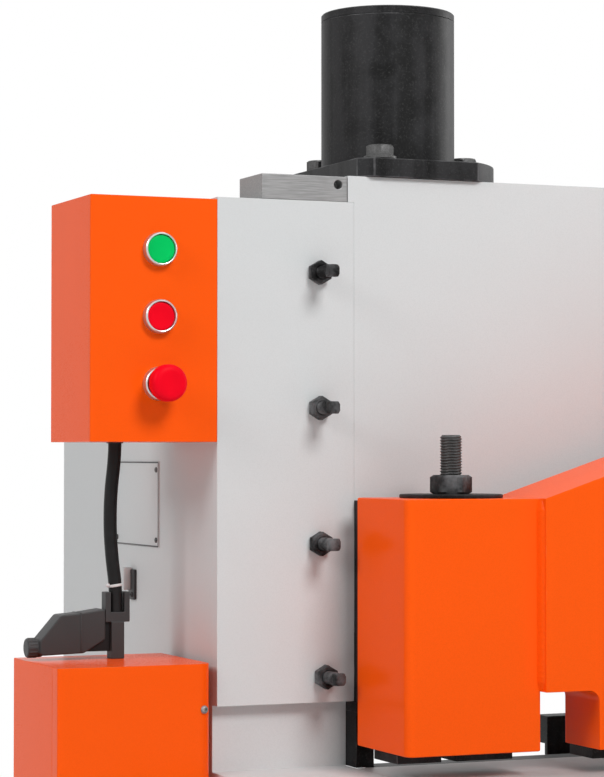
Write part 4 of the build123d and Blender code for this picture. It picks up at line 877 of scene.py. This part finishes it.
def weld(work, start, end, first, second, leg=6.0 * mm):
    """A bead along a corner. first and second point along its two plates, away from the corner."""
    start, end = Vector(start) * mm, Vector(end) * mm
    length = (end - start).length
    rings = math.ceil(length / (weld_ripple / 3))
    loops = []
    for ring in range(rings + 1):
        share = ring / rings
        wave = abs(math.sin(math.pi * share * length / weld_ripple))
        near_end = min(share, 1 - share) * length
        size = leg * (0.88 + 0.12 * wave) * min(1.0, 0.45 + near_end / (2 * leg))
        middle = start.lerp(end, share)
        loop = [middle]
        for degrees, fullness in weld_section:
            turned = math.radians(degrees)
            loop.append(middle + size * fullness * (math.cos(turned) * first + math.sin(turned) * second))
        loops.append(loop)
    skin(work, loops, ring=False)


plate_inside, plate_outside = 765, 795
web_front, stiffener_back = -187.6, 52.5
gusset_spacing, gusset_half = 266, 7.5
weld_lines = []
for side in (-1, 1):
    inner, outer, outwards = side * plate_inside, side * plate_outside, side * to_right
    weld_lines += [
        ((outer, -316, 20), (outer, 316, 20), outwards, upwards),
        ((inner, -316, 20), (inner, 316, 20), -outwards, upwards),
        ((inner, web_front, 482), (inner, web_front, 778), -outwards, to_front),
        ((inner, stiffener_back, 1182), (inner, stiffener_back, 1328), -outwards, to_back),
    ]
    for tie in (-162.5, 7.5):
        weld_lines.append(((inner, tie - 24, 120), (inner, tie + 24, 120), -outwards, upwards))
for gusset in range(-2, 3):
    for side in (-1, 1):
        face, outwards = gusset * gusset_spacing + side * gusset_half, side * to_right
        weld_lines.append(((face, web_front, 542), (face, web_front, 774), outwards, to_front))
        weld_lines.append(((face, -400, 780), (face, -194, 780), outwards, -upwards))
beads = bmesh.new()
for weld_line in weld_lines:
    weld(beads, *weld_line)
add_piece("fillet_welds", beads, "frame", "gray_paint", smooth=weld_smooth)

seams = bmesh.new()
for side in (-1, 1):
    foot, top = (side * 542, -257.5, 895), (side * 542, -257.5, 1062)
    weld(seams, foot, top, 0.45 * side * to_right, to_front, leg=8.5 * mm)
add_piece("hold_down_welds", seams, "hold_down", "orange_paint", smooth=weld_smooth)
print("welds:", len(weld_lines), "on the frame and 2 on the hold-down")

# %% [markdown]
# Small fittings finish the left side. A plain riveted plate with a raised border sits on the side plate. Plates are
# blocks with broken edges. Rivets and round-headed screws are turned from short profiles in shares of their radius,
# so that one profile serves every size. Places are given in millimetres here.


# %% Riveted plate
def block(work, low, high, width):
    """A block between two corners in millimetres, with rounded edges."""
    part = bmesh.new()
    size = Vector(high) - Vector(low)
    place = Matrix.Translation((Vector(low) + Vector(high)) / 2 * mm) @ Matrix.Diagonal((*(size * mm), 1.0))
    bmesh.ops.create_cube(part, size=1.0, matrix=place)
    break_edges(part, width * mm)
    scratch = bpy.data.meshes.new("block")
    part.to_mesh(scratch)
    part.free()
    work.from_mesh(scratch)
    bpy.data.meshes.remove(scratch)


def round_head(work, place, direction, radius):
    """A round screw head with a socket."""
    shape = [(1.0, 0.0), (1.0, 0.25), (0.92, 0.48), (0.72, 0.68), (0.5, 0.76), (0.44, 0.74), (0.42, 0.3)]
    turn(work, facing(Vector(place) * mm, direction), scaled(shape, radius * mm), 32)


def rivet(work, place, direction, radius):
    """A low domed rivet head."""
    shape = [(1.0, 0.0), (0.98, 0.22), (0.84, 0.42), (0.55, 0.56), (0.2, 0.6)]
    turn(work, facing(Vector(place) * mm, direction), scaled(shape, radius * mm), 24)


plate = bmesh.new()
block(plate, (-796, 23, 1014), (-795, 147, 1095), 0.3)
add_piece("bare_plate", plate, "frame", "gray_paint")
rivets = bmesh.new()
for y in (29, 141):
    for z in (1021, 1087):
        rivet(rivets, (-796, y, z), to_left, 2.6)
for z in (1015, 1094):
    block(rivets, (-796.3, 24, z - 0.7), (-795.5, 146, z + 0.7), 0.2)
for y in (24, 146):
    block(rivets, (-796.3, y - 0.7, 1015), (-795.5, y + 0.7, 1094), 0.2)
add_piece("plate_border_and_rivets", rivets, "frame", "oiled_steel")
print("bare plate with its border and four rivets")

# %% [markdown]
# Beside the plate is a small catch on a dark base. A clip holds the conduit where it enters the plug, narrow keepers
# sit on top of the side stops, and round-headed screws hold the rolled edge of the cabinet's cover. Each is a block
# or a turned ring, because at this size only the outline and a broken edge show.

# %% Catch, clip, keepers and cover screws
catch = bmesh.new()
block(catch, (-805, 97, 971), (-796, 105, 993), 1.5)
add_piece("side_catch", catch, "frame", "gray_paint")
catch_base = bmesh.new()
block(catch_base, (-798, 87, 962), (-795, 104, 991), 1.0)
round_head(catch_base, (-798, 92, 967), to_left, 2.5)
add_piece("side_catch_base", catch_base, "frame", "black_plastic")

clip = bmesh.new()
clip_axis = facing(Vector((-863.4, -48.7, 982.5)) * mm, (-0.14, 0.03, 1.0))
clip_shape = [(6.1, 0.0), (6.7, 0.0), (6.9, 0.3), (6.9, 2.1), (6.7, 2.4), (6.1, 2.4)]
turn(clip, clip_axis, scaled(clip_shape, mm), ring=True)
block(clip, (-873, -53, 982.6), (-869.5, -49, 985.4), 0.6)
add_piece("conduit_clip", clip, "frame", "gray_paint")

keepers = bmesh.new()
for side in (-1, 1):
    x_low, x_high = sorted((side * 664.9, side * 662.6))
    block(keepers, (x_low, -137, 869.9), (x_high, -113.8, 878.4), 0.3)
add_piece("side_stop_keepers", keepers, "frame", "black_steel")

cover_screws = bmesh.new()
for z in (878, 553):
    round_head(cover_screws, (-810.9, -136.8, z), (0.342, -0.94, 0.0), 3.6)
add_piece("cover_screws", cover_screws, "frame", "bare_steel")
print("catch, clip, keepers and cover screws")

# %% [markdown]
# The hood of the plug slopes down to a ribbed end nut, and a seam runs across it. Under it beside the jaws sits a
# wedge made near black as painted shade: it stands in for the shade under the hood. The nut is turned with its
# radius capped by a row of ribs, and the wedge is a five-cornered prism.


# %% End nut, seam and shade wedge of the plug's hood
def ribs(count, radius, depth):
    """Caps a radius to a ribbed grip."""
    return lambda angle, along: radius - depth * abs(math.sin(count * angle / 2))


hood_low, hood_high = (corner / mm for corner in box_of("plug_hood"))
end_nut = bmesh.new()
nut_axis = facing(Vector((-934.6, -42.5, 929.2)) * mm, to_left)
nut_shape = [(8.0, 0.0), (9.0, 0.8), (9.0, 8.6), (8.0, 9.6), (5.0, 9.8)]
turn(end_nut, nut_axis, scaled(nut_shape, mm), 96, ribs(16, 9.0 * mm, 1.0 * mm))
block(end_nut, (-897.7, hood_low.y - 0.4, 924.2), (-896.3, hood_low.y + 0.5, 959.0), 0.2)
block(end_nut, (-897.7, hood_low.y, 958.8), (-896.3, hood_high.y, 960.0), 0.2)
add_piece("hood_end_nut_and_seam", end_nut, "frame", "black_plastic")
# painted shade: this near-black wedge under the hood stands in for the shade there
shade_wedge = bmesh.new()
shade_wedge_shape = [(-868.5, 925.0), (-868.5, 950.9), (-873.9, 950.9), (-873.9, 936.0), (-892.0, 925.0)]
skin(shade_wedge, [[Vector((x, y, z)) * mm for x, z in shade_wedge_shape] for y in (-51.0, -34.0)], ring=False)
break_edges(shade_wedge, 0.5 * mm)
add_piece("hood_shade_wedge", shade_wedge, "frame", "conduit_rubber")
print("end nut with 16 ribs, seam and seal of the hood")

# %% [markdown]
# The hydraulic unit sits behind the bed, but it shows from below and behind. Its filler cap is ribbed for the hand,
# the tank has a level glass in a black frame, and round-headed screws hold the valve and the lid of the motor's
# terminal box. The helpers of the left side make them all.

# %% Fittings of the hydraulic unit
filler_low, filler_high = box_of("filler_cap")
filler = bmesh.new()
filler_axis = facing(centred(filler_low, filler_high, z=lid_high.z), upwards)
neck = [(20 * mm, filler_low.z - lid_high.z), (20 * mm, 0.0)]
grip = scaled([(27.0, 0.1), (30.0, 2.0), (30.0, 31.0), (27.0, 34.5), (22.0, 36.0)], mm)
turn(filler, filler_axis, neck + grip, 144, ribs(36, 30 * mm, 1.2 * mm))
add_piece("ribbed_filler_cap", filler, "frame", "black_plastic", "filler_cap")

level_frame = bmesh.new()
tank_front = tank_low.y / mm
block(level_frame, (188, tank_front - 9, 150), (214, tank_front, 262), 3.0)
for z in (160, 252):
    round_head(level_frame, (201, tank_front - 9, z), to_front, 5.0)
add_piece("level_glass_frame", level_frame, "frame", "black_plastic")
level_glass = bmesh.new()
block(level_glass, (195, tank_front - 11, 172), (207, tank_front - 8, 240), 1.2)
add_piece("level_glass", level_glass, "frame", "spring_rubber")

valve_screws = bmesh.new()
valve_low, valve_high = box_of("solenoid_valve")
valve_top = centred(valve_low, valve_high, z=valve_high.z) / mm - Vector((0.0, 0.0, 0.2))
for x in (-22, 22):
    for y in (-22, 22):
        round_head(valve_screws, valve_top + Vector((x, y, 0)), upwards, 4.5)
motor_back = box_of("motor")[1].y / mm
box_middle = Vector((-100.0, motor_back, 387.0))
for x in (-37, 37):
    for z in (-27, 27):
        round_head(valve_screws, box_middle + Vector((x, 0, z)), to_back, 3.5)
add_piece("valve_and_motor_screws", valve_screws, "frame", "black_steel")
print("filler cap, level glass and screws of the hydraulic unit")

# %% [markdown]
# The studio is a pale floor under a white surround. The floor keeps the shadow of the machine, and further out it
# fades into plain white light, so that no horizon shows behind the machine.

# %% Floor
floor_reach = 12.0
shadow_reach = (1.5, 3.2)
floor_white = 0.86
floor_roughness = 0.8


def white_rays(start):
    """1 for rays that see the background: from the camera, in gloss and through glass."""
    path = ("Is Camera Ray", "Is Glossy Ray", "Is Transmission Ray")
    seen = [start.node("ShaderNodeLightPath", out=name) for name in path]
    return start.math("MINIMUM", seen[0] + seen[1] + seen[2], 1.0)


start = start_finish("pale_floor")
ground_place = start.node("ShaderNodeTexCoord", out="Object")
distance = start.node("ShaderNodeVectorMath", {"operation": "LENGTH"}, {0: ground_place}, out="Value")
floor_shader = start.node(
    "ShaderNodeBsdfPrincipled", sockets={"Base Color": white(floor_white), "Roughness": floor_roughness}
)
glow = start.node("ShaderNodeEmission", sockets={"Color": white(1.0), "Strength": 1.0})
faded = start.node(
    "ShaderNodeMixShader", sockets={0: distance.fade(*shadow_reach) * white_rays(start), 1: floor_shader, 2: glow}
)
start.node("ShaderNodeOutputMaterial", sockets={"Surface": faded})

floor_mesh = bpy.data.meshes.new("floor")
floor_corners = [(-1, -1), (1, -1), (1, 1), (-1, 1)]
floor_mesh.from_pydata([(x * floor_reach, y * floor_reach, 0.0) for x, y in floor_corners], [], [(0, 1, 2, 3)])
floor_mesh.materials.append(finishes["pale_floor"])
floor = bpy.data.objects.new("floor", floor_mesh)
bpy.context.scene.collection.objects.link(floor)
print("floor reaches", floor_reach, "m to each side")

# %% [markdown]
# The surround is pure white to the camera and in reflections, but lights the machine more gently, so that colours
# come out about as they are written. Four soft lamps shape it.

# %% Surround and lamps
surround_level = 0.3
world = bpy.data.worlds.new("surround")
world.use_nodes = True
world.node_tree.nodes.clear()
bpy.context.scene.world = world
start = Wire(world.node_tree)
seen_white = start.node("ShaderNodeBackground", sockets={"Color": white(1.0), "Strength": 1.0})
soft_light = start.node("ShaderNodeBackground", sockets={"Color": white(1.0), "Strength": surround_level})
mixed = start.node("ShaderNodeMixShader", sockets={0: white_rays(start), 1: soft_light, 2: seen_white})
start.node("ShaderNodeOutputWorld", sockets={"Surface": mixed})


def softbox(name, place, aim, size, power):
    """A square lamp at place that shines at aim."""
    lamp = bpy.data.lights.new(name, "AREA")
    lamp.size = size
    lamp.energy = power
    box = bpy.data.objects.new(name, lamp)
    box.location = place
    box.rotation_euler = (Vector(aim) - Vector(place)).to_track_quat("-Z", "Y").to_euler()
    bpy.context.scene.collection.objects.link(box)


softbox("key", (-0.12, -3.45, 3.9), (-0.5, 0.0, 0.9), 1.4, 122.0)
softbox("fill", (-3.8, -0.9, 3.0), (-0.8, 0.0, 0.9), 1.4, 48.0)
softbox("overhead", (0.4, 1.1, 4.2), (-0.3, 0.0, 0.9), 2.0, 46.0)
softbox("right_rim", (3.6, 0.4, 2.0), (-0.4, 0.1, 1.2), 1.8, 56.0)
bpy.context.scene.view_settings.view_transform = "Standard"
print("surround and lamps are set")

# %% [markdown]
